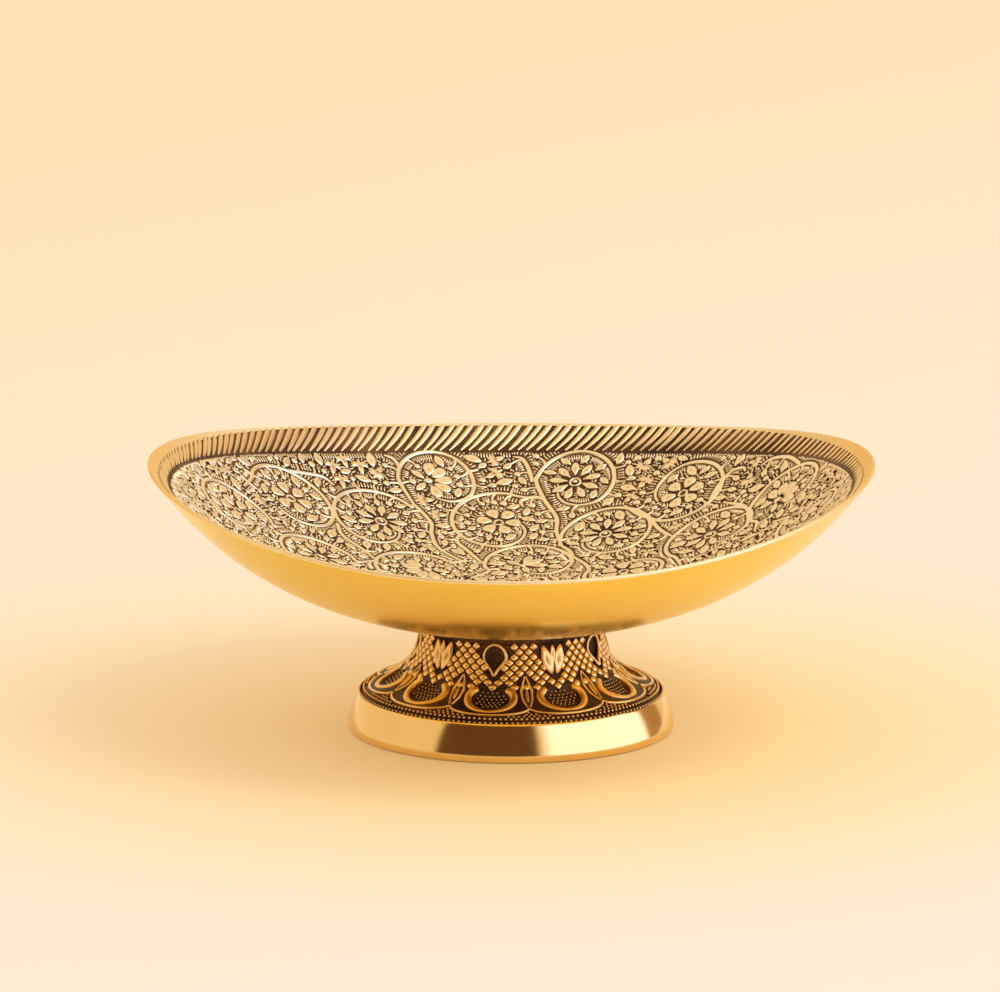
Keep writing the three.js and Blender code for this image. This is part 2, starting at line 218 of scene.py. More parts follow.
def wall_point(reach, angle, depth):
    """A point of the wall, depth millimetres above the underside, and the wall's normal there."""
    x = DISH_HALF_LENGTH * reach * np.cos(angle)
    y = DISH_HALF_WIDTH * reach * np.sin(angle)
    step = 0.05
    slope_x = (underside_height(x + step, y) - underside_height(x - step, y)) / (2 * step)
    slope_y = (underside_height(x, y + step) - underside_height(x, y - step)) / (2 * step)
    normal = unit(np.stack([-slope_x, -slope_y, np.ones_like(slope_x)], -1))
    point = np.stack([x, y, underside_height(x, y)], -1)
    return point + normal * np.asarray(depth, float)[..., None], normal


# The flat sheet and the pressed wall: arc lengths from the middle, for each degree round the bowl
table_reaches = np.linspace(0, 1, TABLE_REACHES + 1)
wall_table, _ = wall_point(table_reaches[None, :], np.radians(np.arange(361))[:, None], DISH_WALL)
spans = np.linalg.norm(np.diff(wall_table, axis=1), axis=-1)
arc_table = np.concatenate([np.zeros((361, 1)), np.cumsum(spans, axis=1)], axis=1)
reach_table = np.array([np.interp(table_reaches * row[-1], row, table_reaches)
                        for row in arc_table])


def reach_of(radius, angle):
    """How far up the wall a radius of the flat sheet lies, from 0 to 1."""
    turn = np.mod(np.degrees(angle), 360)
    row = np.minimum(turn.astype(int), 359)
    along = turn - row
    share = radius / np.interp(turn, np.arange(361), arc_table[:, -1]) * TABLE_REACHES
    column = np.clip(share.astype(int), 0, TABLE_REACHES - 1)
    rest = share - column
    low, high = (reach_table[k, column] * (1 - rest) + reach_table[k, column + 1] * rest
                 for k in (row, row + 1))
    return low * (1 - along) + high * along


def on_dish(places, lift=0.0):
    """Where points of the flat sheet lie on the pressed wall's inside, and the normals there."""
    places = np.asarray(places, float)
    angle = np.arctan2(places[:, 1], places[:, 0])
    reach = reach_of(np.hypot(places[:, 0], places[:, 1]), angle)
    return wall_point(reach, angle, np.full(len(places), DISH_WALL) + lift)


def fullness(radius):
    """How much the underside is thickened at a radius of the flat sheet."""
    return UNDERSIDE_FULLNESS * (1 - smooth_step(radius, FULLNESS_FROM, FULLNESS_TO))


def border_edges(angle):
    """Where the border starts and ends on the flat sheet: it is narrower at the tips."""
    toward_tip = np.abs(np.cos(angle))
    return (BORDER_OUTER - TIP_MARGIN * toward_tip ** 6,
            BORDER_INNER + TIP_NARROWING * toward_tip ** 3)


def border_depth(radius):
    """How far the border's ground lies below the rubbed tops; it runs out on the thinner lip."""
    thinned = DISH_WALL - LIP_WALL - 0.02
    return np.interp(radius, (BORDER_INNER + 3, BORDER_OUTER), (BORDER_DEPTH, thinned))


shell_turn = np.linspace(0, math.tau, SHELL_COLUMNS, endpoint=False)
whole = np.ones(SHELL_COLUMNS)


def shell_ring(radius, depth):
    reach = np.minimum(reach_of(whole * radius, shell_turn), LAST_REACH)
    return wall_point(reach, shell_turn, depth)[0]


def lip_ring(turn):
    """Part of the half-round lip, from the underside at 0 to the inside at a half turn."""
    middle, normal = wall_point(whole, shell_turn, LIP_WALL / 2)
    outward = unit(middle - wall_point(whole * 0.999, shell_turn, LIP_WALL / 2)[0])
    radius = LIP_WALL / 2 - LIP_GAP
    return middle + outward * (LIP_REACH + radius * math.sin(turn)) - normal * radius * math.cos(turn)


def new_piece(name, points, edges, faces, finishes=()):
    """A smooth mesh object, its points in metres."""
    mesh = bpy.data.meshes.new(name)
    mesh.from_pydata(np.asarray(points).tolist(), edges, faces)
    mesh.polygons.foreach_set("use_smooth", [True] * len(faces))
    for finish in finishes:
        mesh.materials.append(finish)
    piece = bpy.data.objects.new(name, mesh)
    scene.collection.objects.link(piece)
    return piece


def lofted(name, bands, finishes, loop=False):
    """A piece over (finish, ring) bands of equal counts, ended in fans or joined in a loop."""
    marks, rings = zip(*bands)
    count, columns = len(rings), len(rings[0])
    faces, marked = [], []
    for row in range(count - 1 + loop):
        start, end = row * columns, (row + 1) % count * columns
        for column in range(columns):
            after = (column + 1) % columns
            faces.append((start + column, start + after, end + after, end + column))
        marked += [marks[(row + 1) % count]] * columns
    points = np.concatenate(rings)
    if not loop:
        final = (count - 1) * columns
        first, last = final + columns, final + columns + 1
        faces += [(first, (c + 1) % columns, c) for c in range(columns)]
        faces += [(last, final + c, final + (c + 1) % columns) for c in range(columns)]
        marked += [marks[0]] * columns + [marks[-1]] * columns
        points = np.concatenate([points, [rings[0].mean(axis=0)], [rings[-1].mean(axis=0)]])
    piece = new_piece(name, points * MM, [], faces, finishes)
    piece.data.polygons.foreach_set("material_index", marked)
    return piece


OUTSIDE, GROUND, LIP = 0, 1, 2
wall_radii = np.linspace(0, SHELL_EDGE, SHELL_RINGS)
seat_edge = polar(SEAT_RADIUS, shell_turn, SEAT_HEIGHT)
shell = [(OUTSIDE, seat_edge * (0.5, 0.5, 1)), (OUTSIDE, seat_edge)]
shell += [(OUTSIDE, shell_ring(radius, -fullness(radius)))
          for radius in wall_radii[wall_radii > SEAT_RADIUS]]
shell += [(LIP if step > 1 else OUTSIDE, lip_ring(math.pi * step / LIP_STEPS))
          for step in range(LIP_STEPS + 1)]
border_start, border_end = border_edges(shell_turn)
for share, mark in ((0, LIP), (0.5, GROUND), (1, GROUND)):
    radius = border_start * (1 - share) + border_end * share
    shell.append((mark, shell_ring(radius, DISH_WALL - border_depth(radius))))
inner_radii = [radius for radius in wall_radii[::-1] if 1 < radius < BORDER_INNER - LINE_WIDTH - 0.5]
shell += [(GROUND, shell_ring(radius, DISH_WALL - GROUND_DEPTH))
          for radius in (border_end - LINE_WIDTH, *inner_radii)]
dish = lofted("dish_shell", shell, [outside_finish, ground_finish, lip_finish])
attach(dish, "root")
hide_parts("dish")

# Border of the dish
# The smith struck a ring of slanted strokes under the lip with one curved punch. The metal left
# between them stands up as a rope of rounded ridges, rubbed bright, 11 mm long at the low sides
# and 3 to 6 mm at the tips. They lean more at one tip than at the other, as if turned in the hand.
RIDGE_COUNT = 216
RIDGE_WIDTH = 1.75
RIDGE_LEAN = 33  # degrees from the shortest way down, on average
RIDGE_LEAN_SWING = 24
RIDGE_CURVE = 1.1
BEAD_ROOT = -0.12  # how far every bead is let into the metal


def chased_brass(name, steps, rough):
    """Raised brass, polished pale on top, dark down its sides with patina and painted shade."""
    finish, tree, place = new_finish(name)
    # Paleness of the metal: dark at the foot of each shape with patina and painted shade, pale on top
    rubbed = add(tree, "ShaderNodeAttribute", attribute_name="rubbed").outputs["Fac"]
    cloud = add(tree, "ShaderNodeTexNoise", {"Vector": place, "Scale": 900.0, "Detail": 3.0})
    uneven = add(tree, "ShaderNodeMath", {0: cloud, 1: 0.36, 2: -0.18}, operation="MULTIPLY_ADD")
    blend_level = add(tree, "ShaderNodeMath", {0: rubbed, 1: uneven}, operation="ADD", use_clamp=True)
    shine = add(tree, "ShaderNodeMapRange", {"Value": blend_level, "To Min": rough[1], "To Max": rough[0]})
    relief = add(tree, "ShaderNodeBump", {"Height": cloud, "Strength": 0.25, "Distance": 0.0001})
    return surfaced(finish, {"Metallic": 1.0, "Roughness": shine, "Normal": relief}, blend_level, steps)


# Rubbed tops: pale gold, brighter than the polished outside, over brown flanks that are partly
# patina and partly painted shade. The border's finish is a little deeper in colour.
chased_finish = chased_brass("chased_brass_rubbed_and_shaded", (
    (0.0, "3a2412"), (0.25, "886339"), (0.55, "f7dfb4"), (1.0, "fff5da")), (0.3, 0.5))
border_finish = chased_brass("border_brass_rubbed_and_shaded", (
    (0.0, "2e1a0b"), (0.25, "77532c"), (0.55, "e2c18c"), (1.0, "f8deac")), (0.3, 0.5))


def new_tree(name, inputs, output):
    """An empty node tree with its named inputs and its one output."""
    tree = bpy.data.node_groups.new(name, "GeometryNodeTree")
    for label, kind in inputs.items():
        tree.interface.new_socket(label, in_out="INPUT", socket_type="NodeSocket" + kind)
    tree.interface.new_socket(output, in_out="OUTPUT", socket_type="NodeSocketGeometry")
    return tree, add(tree, "NodeGroupInput").outputs


def finished(tree, shapes, finish):
    """Ends a tree: real geometry, its material, and the output."""
    real = add(tree, "GeometryNodeRealizeInstances", {0: shapes})
    done = add(tree, "GeometryNodeSetMaterial", {"Geometry": real, "Material": finish})
    add(tree, "NodeGroupOutput", {0: done})


# Sweeps a half-round bead along lines on the metal, flat side down, swelling and tapering
tree, given = new_tree("half_round_beads", {
    "Lines": "Geometry", "Width": "Float", "Height": "Float", "Root": "Float",
    "Finish": "Material"}, "Beads")
line = add(tree, "GeometryNodeMeshToCurve", {"Mesh": given["Lines"]})
up = add(tree, "GeometryNodeInputNamedAttribute", {"Name": "up"}, data_type="FLOAT_VECTOR")
upright = add(tree, "GeometryNodeSetCurveNormal", {"Curve": line, "Normal": up}, mode="FREE")
arc = add(tree, "GeometryNodeCurveArc", {
    "Resolution": 7, "Radius": 1.0, "Start Angle": 0.0, "Sweep Angle": math.pi}, mode="RADIUS")
closed = add(tree, "GeometryNodeSetSplineCyclic", {"Geometry": arc, "Cyclic": True})
height = add(tree, "ShaderNodeSeparateXYZ", {0: add(tree, "GeometryNodeInputPosition")}).outputs[1]
# Each bead is pale along its crown and dark down its flanks: polish over patina, and painted shade
# toward the ground
bright = add(tree, "ShaderNodeMapRange", {"Value": height, "From Min": 0.2, "From Max": 0.8})
marked = add(tree, "GeometryNodeStoreNamedAttribute", {
    "Geometry": closed, "Name": "rubbed", "Value": bright})
half_width = add(tree, "ShaderNodeMath", {0: given["Width"], 1: 0.5}, operation="MULTIPLY")
quarter = add(tree, "GeometryNodeTransform", {
    "Geometry": marked, "Rotation": (0, 0, -math.pi / 2)})
profile = add(tree, "GeometryNodeTransform", {
    "Geometry": quarter, "Translation": add(tree, "ShaderNodeCombineXYZ", {0: given["Root"]}),
    "Scale": add(tree, "ShaderNodeCombineXYZ", {0: given["Height"], 1: half_width, 2: 1.0})})
bead = add(tree, "GeometryNodeCurveToMesh", {
    "Curve": upright, "Profile Curve": profile, "Fill Caps": True,
    "Scale": add(tree, "GeometryNodeInputNamedAttribute", {"Name": "swell"})})
finished(tree, add(tree, "GeometryNodeSetShadeSmooth", {"Geometry": bead}), given["Finish"])
beads_tree = tree


def grown(name, tree, inputs, points, edges, fields):
    """Runs a node tree on points given in millimetres and keeps its result as a plain mesh."""
    piece = new_piece(name, points * MM, edges, [])
    for key, values in fields.items():
        values = np.asarray(values, np.float32)
        kind, slot = ("FLOAT_VECTOR", "vector") if values.ndim == 2 else ("FLOAT", "value")
        piece.data.attributes.new(key, kind, "POINT").data.foreach_set(slot, values.ravel())
    modifier = piece.modifiers.new(tree.name, "NODES")
    modifier.node_group = tree
    for item in tree.interface.items_tree:
        if item.in_out == "INPUT" and item.name in inputs:
            modifier[item.identifier] = inputs[item.name]
    graph = bpy.context.evaluated_depsgraph_get()
    made = bpy.data.meshes.new_from_object(
        piece.evaluated_get(graph), preserve_all_data_layers=True, depsgraph=graph)
    piece.modifiers.remove(modifier)
    piece.data = made
    return piece


def beaded(name, lines, finish, width, height):
    """Sweeps beads along lines, each given as its points, its normals and its swell."""
    points, normals, swell = (np.concatenate([line[k] for line in lines]) for k in range(3))
    ends = set(np.cumsum([len(line[0]) for line in lines]).tolist())
    edges = [(k - 1, k) for k in range(1, len(points)) if k not in ends]
    sizes = {"Width": width * MM, "Height": height * MM, "Root": BEAD_ROOT * MM, "Finish": finish}
    return grown(name, beads_tree, sizes, points, edges, {"up": normals, "swell": swell})


stroke = np.linspace(0, 1, 12)  # from the lip down
ridge_swell = np.interp(stroke, (0, 0.1, 0.35, 0.75, 1), (0.75, 0.95, 1, 0.75, 0.35))
ridges = []
rng = np.random.default_rng(7)
for k in range(RIDGE_COUNT):
    turn = math.tau * (k + rng.uniform(-0.09, 0.09)) / RIDGE_COUNT
    lean = math.radians(RIDGE_LEAN - RIDGE_LEAN_SWING * math.cos(turn) + rng.uniform(-2, 2))
    upper, lower = border_edges(turn)
    radius = upper + 0.1 - (upper - lower + 0.15) * stroke
    drift = (radius - radius.mean()) * math.tan(lean) - RIDGE_CURVE * stroke ** 3
    points, normals = on_dish(polar(radius, turn - drift / radius), -border_depth(radius))
    ridges.append((points, normals, ridge_swell * rng.uniform(0.9, 1.12)))
border = beaded("border_ridges", ridges, border_finish, RIDGE_WIDTH, BORDER_DEPTH + 0.1)
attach(border, "root")

# Scrolling stems inside the dish
# Vine stems chased in the brass: each leaves another stem, rolls up into a ring round a flower, and
# sends out short stalks. They stand level with the rubbed border, 1.5 mm wide.
STEM_WIDTH = 1.5
STALK_WIDTH = 1.05
STEP = 0.7
HUB_RADIUS = 11.5  # the ring round the middle of the dish

# Stems that feed a ring, its middle, radius, first angle, turn and inner end, and its flower
SCROLLS = (
    (((-29, 72),), (-23, 85), 11.6, 200, -305, 0.5, "carnation"),
    (((15, 53), (13.5, 62), (13.5, 70), (10, 79)), (19.5, 85.5), 12, 172, -325, 0.5, "daisy"),
    (((9.5, 79.5),), (-3.8, 68.3), 14, 64, 290, 0.45, "rosette"),
    (((-13, 42), (-21, 50), (-23.5, 58), (-24, 65), (-29, 72)), (-38.5, 59.6), 14.2, 52, 280, 0.4,
     "daisy"),
    (((-80, 43),), (-65.5, 52.5), 13, 190, -300, 0.7, "rosette"),
    (((34, 70), (38, 63.5)), (51.5, 67), 12.6, 212, 325, 0.6, "rosette"),
    (((14.2, 53),), (27.8, 57.2), 13.2, 176, -335, 0.55, "daisy"),
    (((48, 22),), (57.5, 37), 13, 215, -300, 0.5, "daisy"),
    (((70, 24),), (81, 36.5), 11.8, 215, -310, 0.55, "carnation"),
    (((-12, 30),), (5, 42), 12.8, 205, -290, 0.5, "tulip"),
    (((18, 46), (21.5, 39)), (32, 28.5), 11, 150, 300, 0.5, "rosette"),
    (((-13, 44),), (-26, 32), 12.8, 48, 290, 0.5, "carnation"),
    (((-39, 33),), (-54, 22.5), 12, 30, 300, 0.5, "daisy"),
    (((-66, 33),), (-80, 25), 12.5, 25, 300, 0.5, "rosette"),
    (((76, 23),), (87, 9.5), 10.8, 125, 300, 0.5, "tulip"),
    (((-14, 12),), (-29, 2), 12.3, 35, 300, 0.5, "rosette"),
    (((-43, 8),), (-58, -4), 12, 35, 300, 0.5, "carnation"),
)
BRANCHES = (
    ((-15, 61), (-16, 56), (-13, 51), (-8, 42)),
    ((18, 46), (17, 50), (14.5, 54)),
    ((6.5, 87), (5.5, 92), (3.5, 96.5), (0.5, 97.6)),
    ((-34, 87), (-36.5, 90), (-39.5, 90.5)),
    ((59, 57.5), (62, 62.5), (66.5, 66), (70.5, 65), (71, 62.5)),
    ((-68, 65.5), (-62, 69), (-57, 71), (-53.5, 69.5)),
    ((40.5, 62), (43.5, 52), (47, 45)),
    ((-51, 50), (-49, 44), (-43, 39), (-38, 33)),
    ((10, 79), (7, 80.5), (3, 79), (3.6, 76)),
    ((68, 30), (69.5, 38), (68.5, 45), (63, 53)),
    ((88, 47), (85, 55), (80, 60), (76, 60.5)),
)


def smooth_path(corners):
    """A smooth curve through the corners, as points about STEP apart."""
    corners = np.asarray(corners, float)
    outer = np.concatenate([[2 * corners[0] - corners[1]], corners,
                            [2 * corners[-1] - corners[-2]]])
    parts = []
    for p0, p1, p2, p3 in zip(outer, outer[1:], outer[2:], outer[3:]):
        count = max(2, round(np.linalg.norm(p2 - p1) / STEP))
        s = np.linspace(0, 1, count, endpoint=False)[:, None]
        parts.append(0.5 * (2 * p1 + (p2 - p0) * s + (2 * p0 - 5 * p1 + 4 * p2 - p3) * s ** 2
                            + (3 * p1 - p0 - 3 * p2 + p3) * s ** 3))
    return np.concatenate([*parts, corners[-1:]])


def rolled_up(middle, radius, start, turn, inner):
    """Corners of a stem that rolls up round a flower, its last part drawn in."""
    share = np.linspace(0, 1, 22)
    pull = np.clip((share - 0.7) / 0.3, 0, 1) ** 1.4
    reach = radius * (1 - (1 - inner) * pull)
    return middle + polar(reach, np.radians(start + turn * share))


# Each line and motif stands twice, the second half a turn round the bowl
stem_lines = [([*feeder, *rolled_up(*scroll)], 0.7, 0.6) for feeder, *scroll, _ in SCROLLS]
stem_lines += [(corners, 0.9, 0.5) for corners in BRANCHES]
stem_paths = []
for corners, start, end in stem_lines:
    path = smooth_path(corners)
    swell = np.interp(np.linspace(0, 1, len(path)), (0, 0.12, 0.75, 1), (start, 1, 1, end))
    stem_paths.append((path, swell))
stem_paths += [(-path, swell) for path, swell in stem_paths]
hub = smooth_path(polar(HUB_RADIUS, np.linspace(0, math.tau, 25)))
stem_paths.append((hub, np.ones(len(hub))))

# Room left on the flat sheet: how far each cell is from the nearest raised metal
CELL = 0.25
GRID_EDGE = 112
LOOK = 7.0  # mm round a mark that are measured
cells = int(2 * GRID_EDGE / CELL)
centres = (np.arange(cells) + 0.5) * CELL - GRID_EDGE
room = np.full((cells, cells), 9.0)


def occupy(places, sizes):
    """Takes round marks of these radii out of the room that is left."""
    for (u, v), size in zip(places, sizes):
        row, column = int((u + GRID_EDGE) / CELL), int((v + GRID_EDGE) / CELL)
        span = int((LOOK + size) / CELL)
        rows, columns = (slice(max(k - span, 0), min(k + span, cells)) for k in (row, column))
        du, dv = centres[rows, None] - u, centres[None, columns] - v
        away = np.sqrt(du ** 2 + dv ** 2) - size
        np.minimum(room[rows, columns], away, out=room[rows, columns])


def room_at(places):
    index = np.clip(((places + GRID_EDGE) / CELL).astype(int), 0, cells - 1)
    return room[index[..., 0], index[..., 1]]


# Where ticks may spring from the raised metal, and which way they point
TICK_PITCH = 0.9
TICK_GAP = 0.36
tick_roots = []


def travel(path):
    """How far along a path each of its points lies."""
    return np.concatenate([[0], np.cumsum(np.linalg.norm(np.diff(path, axis=0), axis=1))])


def toward(angle):
    return np.array([math.cos(angle), math.sin(angle)])


def mark_line(path, half_widths, hands=(1, -1)):
    """Takes a line's room; ticks stand square to it on both hands."""
    occupy(path, half_widths)
    travelled = travel(path)
    stops = np.arange(TICK_PITCH / 2, travelled[-1], TICK_PITCH)
    places, ahead = (np.stack([np.interp(stops, travelled, line[:, k]) for k in (0, 1)], -1)
                     for line in (path, np.gradient(path, axis=0)))
    ahead = unit(ahead)
    size = np.interp(stops, travelled, half_widths)[:, None]
    for hand in hands:
        aside = hand * np.stack([-ahead[:, 1], ahead[:, 0]], -1)
        tick_roots.append((places + aside * (size + TICK_GAP), aside))


def mark_motif(u, v, angle, length, width):
    """Takes the room of a long or round shape; ticks stand out from it all round."""
    if width > length:
        angle, length, width = angle + math.pi / 2, width, length
    radius = width / 2
    reach = length / 2 - radius
    along = toward(angle)
    aside = np.array([-along[1], along[0]])
    place = np.array([[u, v]])
    offsets = np.linspace(-reach, reach, round(2 * reach / 0.8) + 1)[:, None]
    occupy(place + offsets * along, np.full(len(offsets), radius * 0.92))
    turns = np.arange(0, math.tau, TICK_PITCH / (radius + TICK_GAP))
    headings = np.cos(turns)[:, None] * along + np.sin(turns)[:, None] * aside
    shift = np.where(np.cos(turns) > 0, reach, -reach)[:, None] * along
    tick_roots.append((place + shift + headings * (radius + TICK_GAP), headings))
    for offset in np.arange(-reach + TICK_PITCH / 2, reach, TICK_PITCH):
        for hand in (aside, -aside):
            tick_roots.append((place + offset * along + hand * (radius + TICK_GAP), hand[None, :]))


def field_edge(angle):
    """Radius of the chased field's edge, just inside the border."""
    return border_edges(angle)[1] - LINE_WIDTH


def on_lines(paths):
    return [(*on_dish(path, -GROUND_DEPTH), swell) for path, swell in paths]


for path, swell in stem_paths:
    mark_line(path, swell * STEM_WIDTH / 2)
edge_turn = np.linspace(0, math.tau, 900, endpoint=False)
mark_line(polar(field_edge(edge_turn), edge_turn), np.full(len(edge_turn), 0.15), hands=(1,))
stems = beaded("vine_stems", on_lines(stem_paths), chased_finish, STEM_WIDTH, GROUND_DEPTH + 0.1)
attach(stems, "root")

# Flowers, leaves and buds inside the dish
# Each ring holds one flower, chased petal by petal: daisies, rosettes of round petals, carnations
# and tulips. Buds on short stalks and three-lobed leaves fill the gaps, all rubbed bright on top.
PETAL_HEIGHT = 0.5

# Sets one shape at each point, its X along the stroke and its Z out of the metal
tree, given = new_tree("stamped_shapes", {
    "Places": "Geometry", "Shape": "Object", "Height": "Float", "Finish": "Material"}, "Shapes")
up, along = (add(tree, "GeometryNodeInputNamedAttribute", {"Name": name},
                 data_type="FLOAT_VECTOR") for name in ("up", "along"))
length, width = (add(tree, "GeometryNodeInputNamedAttribute", {"Name": name})
                 for name in ("length", "width"))
placed = add(tree, "GeometryNodeInstanceOnPoints", {
    "Points": given["Places"],
    "Instance": add(tree, "GeometryNodeObjectInfo", {"Object": given["Shape"]}).outputs["Geometry"],
    "Rotation": add(tree, "FunctionNodeAxesToRotation", {0: up, 1: along}),
    "Scale": add(tree, "ShaderNodeCombineXYZ", {0: length, 1: width, 2: given["Height"]})})
finished(tree, placed, given["Finish"])
shapes_tree = tree


def stamp(name, outline, levels, bottom=-0.25):
    """A closed raised shape in a unit box, from (scale, height, paleness) levels over an outline."""
    outline = np.asarray(outline, float)
    count = len(outline)
    points, rubbed, faces = [], [], [tuple(range(count))[::-1]]
    for scale, height, bright in ((1.0, bottom, 0.0), *levels):
        done = len(points)
        edge = [(done - count + i, done - count + (i + 1) % count) for i in range(count)]
        if scale == 0:
            faces += [(*pair, done) for pair in edge]
            points.append((0, 0, height))
            rubbed.append(bright)
            break
        if points:
            faces += [(*pair, pair[1] + count, pair[0] + count) for pair in edge]
        points += [(x * scale, y * scale, height) for x, y in outline]
        rubbed += [bright] * count
    else:
        faces.append(tuple(range(len(points) - count, len(points))))
    shape = new_piece(name, points, [], faces)
    # Paleness per point: dark at the foot with patina and painted shade, pale on top
    shape.data.attributes.new("rubbed", "FLOAT", "POINT").data.foreach_set("value", rubbed)
    return shape


def stamped(name, shape, finish, height, motifs, surface, lift):
    """Sets a shape at each motif: its place, direction, length and width in millimetres."""
    motifs = np.asarray(motifs, float)
    points, normals = surface(motifs[:, :2], lift)
    ahead, _ = surface(motifs[:, :2] + motifs[:, 2:4] * 0.2, lift)
    fields = {"up": normals, "along": ahead - points, "length": motifs[:, 4] * MM,
              "width": motifs[:, 5] * MM}
    return grown(name, shapes_tree, {"Shape": shape, "Height": height * MM, "Finish": finish},
                 points, [], fields)


def rounded_outline(count, pinch=0.0, point=0.0):
    """A closed outline in a unit box: pinch narrows its near end, point draws out both ends."""
    turn = np.linspace(0, math.tau, count, endpoint=False)
    x = np.cos(turn)
    y = np.sin(turn) * (1 - pinch * (1 - x) / 2) * (1 - point * np.abs(x))
    return np.stack([x / 2, y / 2 / np.abs(y).max()], -1)


# The last number of each level is how pale the metal is there: dark at the ground with patina and
# painted shade, polished pale on top
CREASED = ((1.0, 0.4, 0.15), (0.86, 0.95, 0.95), (0.5, 0.95, 0.92), (0, 0.62, 0.35))
DOMED = ((1.0, 0.3, 0.1), (0.85, 0.75, 0.8), (0.5, 1.0, 1.0), (0, 1.05, 1.0))
LOBED = ((1.0, 0.3, 0.1), (0.8, 0.75, 0.7), (0.45, 1.0, 0.85), (0, 0.6, 0.2))
trefoil_side = ((-0.5, 0.07), (-0.28, 0.1), (-0.36, 0.3), (-0.2, 0.44), (0.08, 0.5), (0.02, 0.3),
                (0.0, 0.17), (0.2, 0.2), (0.38, 0.1), (0.5, 0))
trefoil_outline = [(x, -y) for x, y in trefoil_side] + list(trefoil_side[-2::-1])
shapes = {"petals": stamp("petal", rounded_outline(12, pinch=0.7, point=0.45), CREASED),
          "round_petals": stamp("round_petal", rounded_outline(12, pinch=0.6), CREASED),
          "leaves": stamp("leaf", rounded_outline(10, point=0.55), CREASED),
          "buds": stamp("bud", rounded_outline(9), DOMED),
          "trefoils": stamp("trefoil", trefoil_outline, LOBED)}
motifs = {name: [] for name in shapes}


def set_motif(name, place, angle, length, width):
    """Notes one motif, centred at a point of the flat sheet, and takes its room."""
    motifs[name].append((*place, *toward(angle), length, width))
    lobed = 0.72 if name == "trefoils" else 1.0
    mark_motif(*place, angle, length * lobed, width * lobed)


def set_petals(name, middle, first, count, spread, inner, outer, width):
    """A fan or a full ring of petals between two radii about a flower's middle."""
    for angle in (first + spread * k for k in range(count)):
        set_motif(name, middle + (inner + outer) / 2 * toward(angle), angle, outer - inner, width)


flower_rings = []


def set_ring(middle, radius):
    """A small raised ring in a flower's middle."""
    path = middle + polar(radius, np.linspace(0, math.tau, 17))
    occupy(path, np.full(len(path), 0.3))
    flower_rings.append((path, np.full(len(path), 0.7)))


def set_flower(kind, middle, facing):
    """One flower, its face turned the way it grows."""
    if kind == "daisy":
        set_motif("buds", middle, facing, 1.5, 1.5)
        set_ring(middle, 1.6)
        set_petals("petals", middle, facing, 9, math.tau / 9, 2.3, 8.0, 2.6)
    elif kind == "rosette":
        set_ring(middle, 1.3)
        set_petals("round_petals", middle, facing, 6, math.tau / 6, 1.9, 6.7, 3.9)
        set_petals("buds", middle, facing + math.tau / 12, 6, math.tau / 6, 6.1, 7.5, 1.4)
    elif kind == "carnation":
        heart = middle - 2.5 * toward(facing)
        set_motif("buds", heart, facing, 3.0, 2.2)
        set_petals("round_petals", heart, facing - 1.3, 5, 0.65, 2.0, 7.6, 3.6)
        set_petals("leaves", heart, facing - 2.4, 2, 4.8, 1.3, 6.4, 2.2)
    else:
        heart = middle - 2 * toward(facing)
        set_petals("petals", heart, facing - 0.62, 3, 0.62, 0.6, 7.6, 2.9)
        set_petals("leaves", heart, facing - 1.9, 2, 3.8, 0.9, 6.0, 2.2)
        set_motif("buds", heart, facing, 2.0, 2.0)


for feeder, middle, radius, start, turn, inner, kind in SCROLLS:
    facing = math.radians(start + turn + (60 if turn > 0 else -60)) + math.pi
    set_flower(kind, np.array(middle), facing)
    set_flower(kind, -np.array(middle), facing + math.pi)
set_motif("buds", (0, 0), 0, 3.4, 3.4)
set_petals("buds", (0, 0), 0, 12, math.tau / 12, 2.2, 3.2, 1.0)
set_petals("round_petals", (0, 0), 0, 8, math.tau / 8, 3.6, 9.0, 3.6)

# Stalks inside and outside the rings, each with a bud, where there is room for one
STALK_EVERY = 8  # points of a stem
STALK_LEAN = 0.75
STALK_ROOM = (0.8, 1.2, 1.7)  # mm clear past its bend, at its end and at its bud
PETAL_ROOM = 2.2  # with less than this its bud is a round one
FIELD_MARGIN = 1.6  # between a bud and the border
stalk_paths = []


def grow_stalk(place, heading, side, length):
    """A curling stalk from a stem to a bud, if nothing is in its way."""
    bend = np.array([0, 0.35, 0.75]) * length
    corners = [place]
    for before, after, curl in zip(bend, (*bend[1:], length), (0.2, 0.6, 1.0)):
        corners.append(corners[-1] + (after - before) * toward(heading + side * curl))
    end = heading + side
    tip = corners[-1] + 0.9 * toward(end)
    clear = room_at(np.array([corners[2], corners[3], tip]))
    beyond = np.hypot(*tip) > field_edge(math.atan2(tip[1], tip[0])) - FIELD_MARGIN
    if beyond or (clear < STALK_ROOM).any():
        return
    path = smooth_path(corners)
    stalk_paths.append((path, np.linspace(1.1, 0.7, len(path))))
    mark_line(path[2:], np.full(len(path) - 2, STALK_WIDTH / 2))
    if rng.random() < 0.5 or clear[2] < PETAL_ROOM:
        size = rng.uniform(1.9, 2.5)
        set_motif("buds", tip, end, size, size)
    else:
        set_motif("petals", tip + 0.6 * toward(end), end, rng.uniform(3.2, 4.2), 2.2)


for path, swell in stem_paths:
    ahead = np.gradient(path, axis=0)
    for k in range(5, len(path) - 4, STALK_EVERY):
        heading = math.atan2(ahead[k, 1], ahead[k, 0])
        for hand in (1, -1):
            grow_stalk(path[k], heading + hand * STALK_LEAN, hand, rng.uniform(3.2, 4.4))

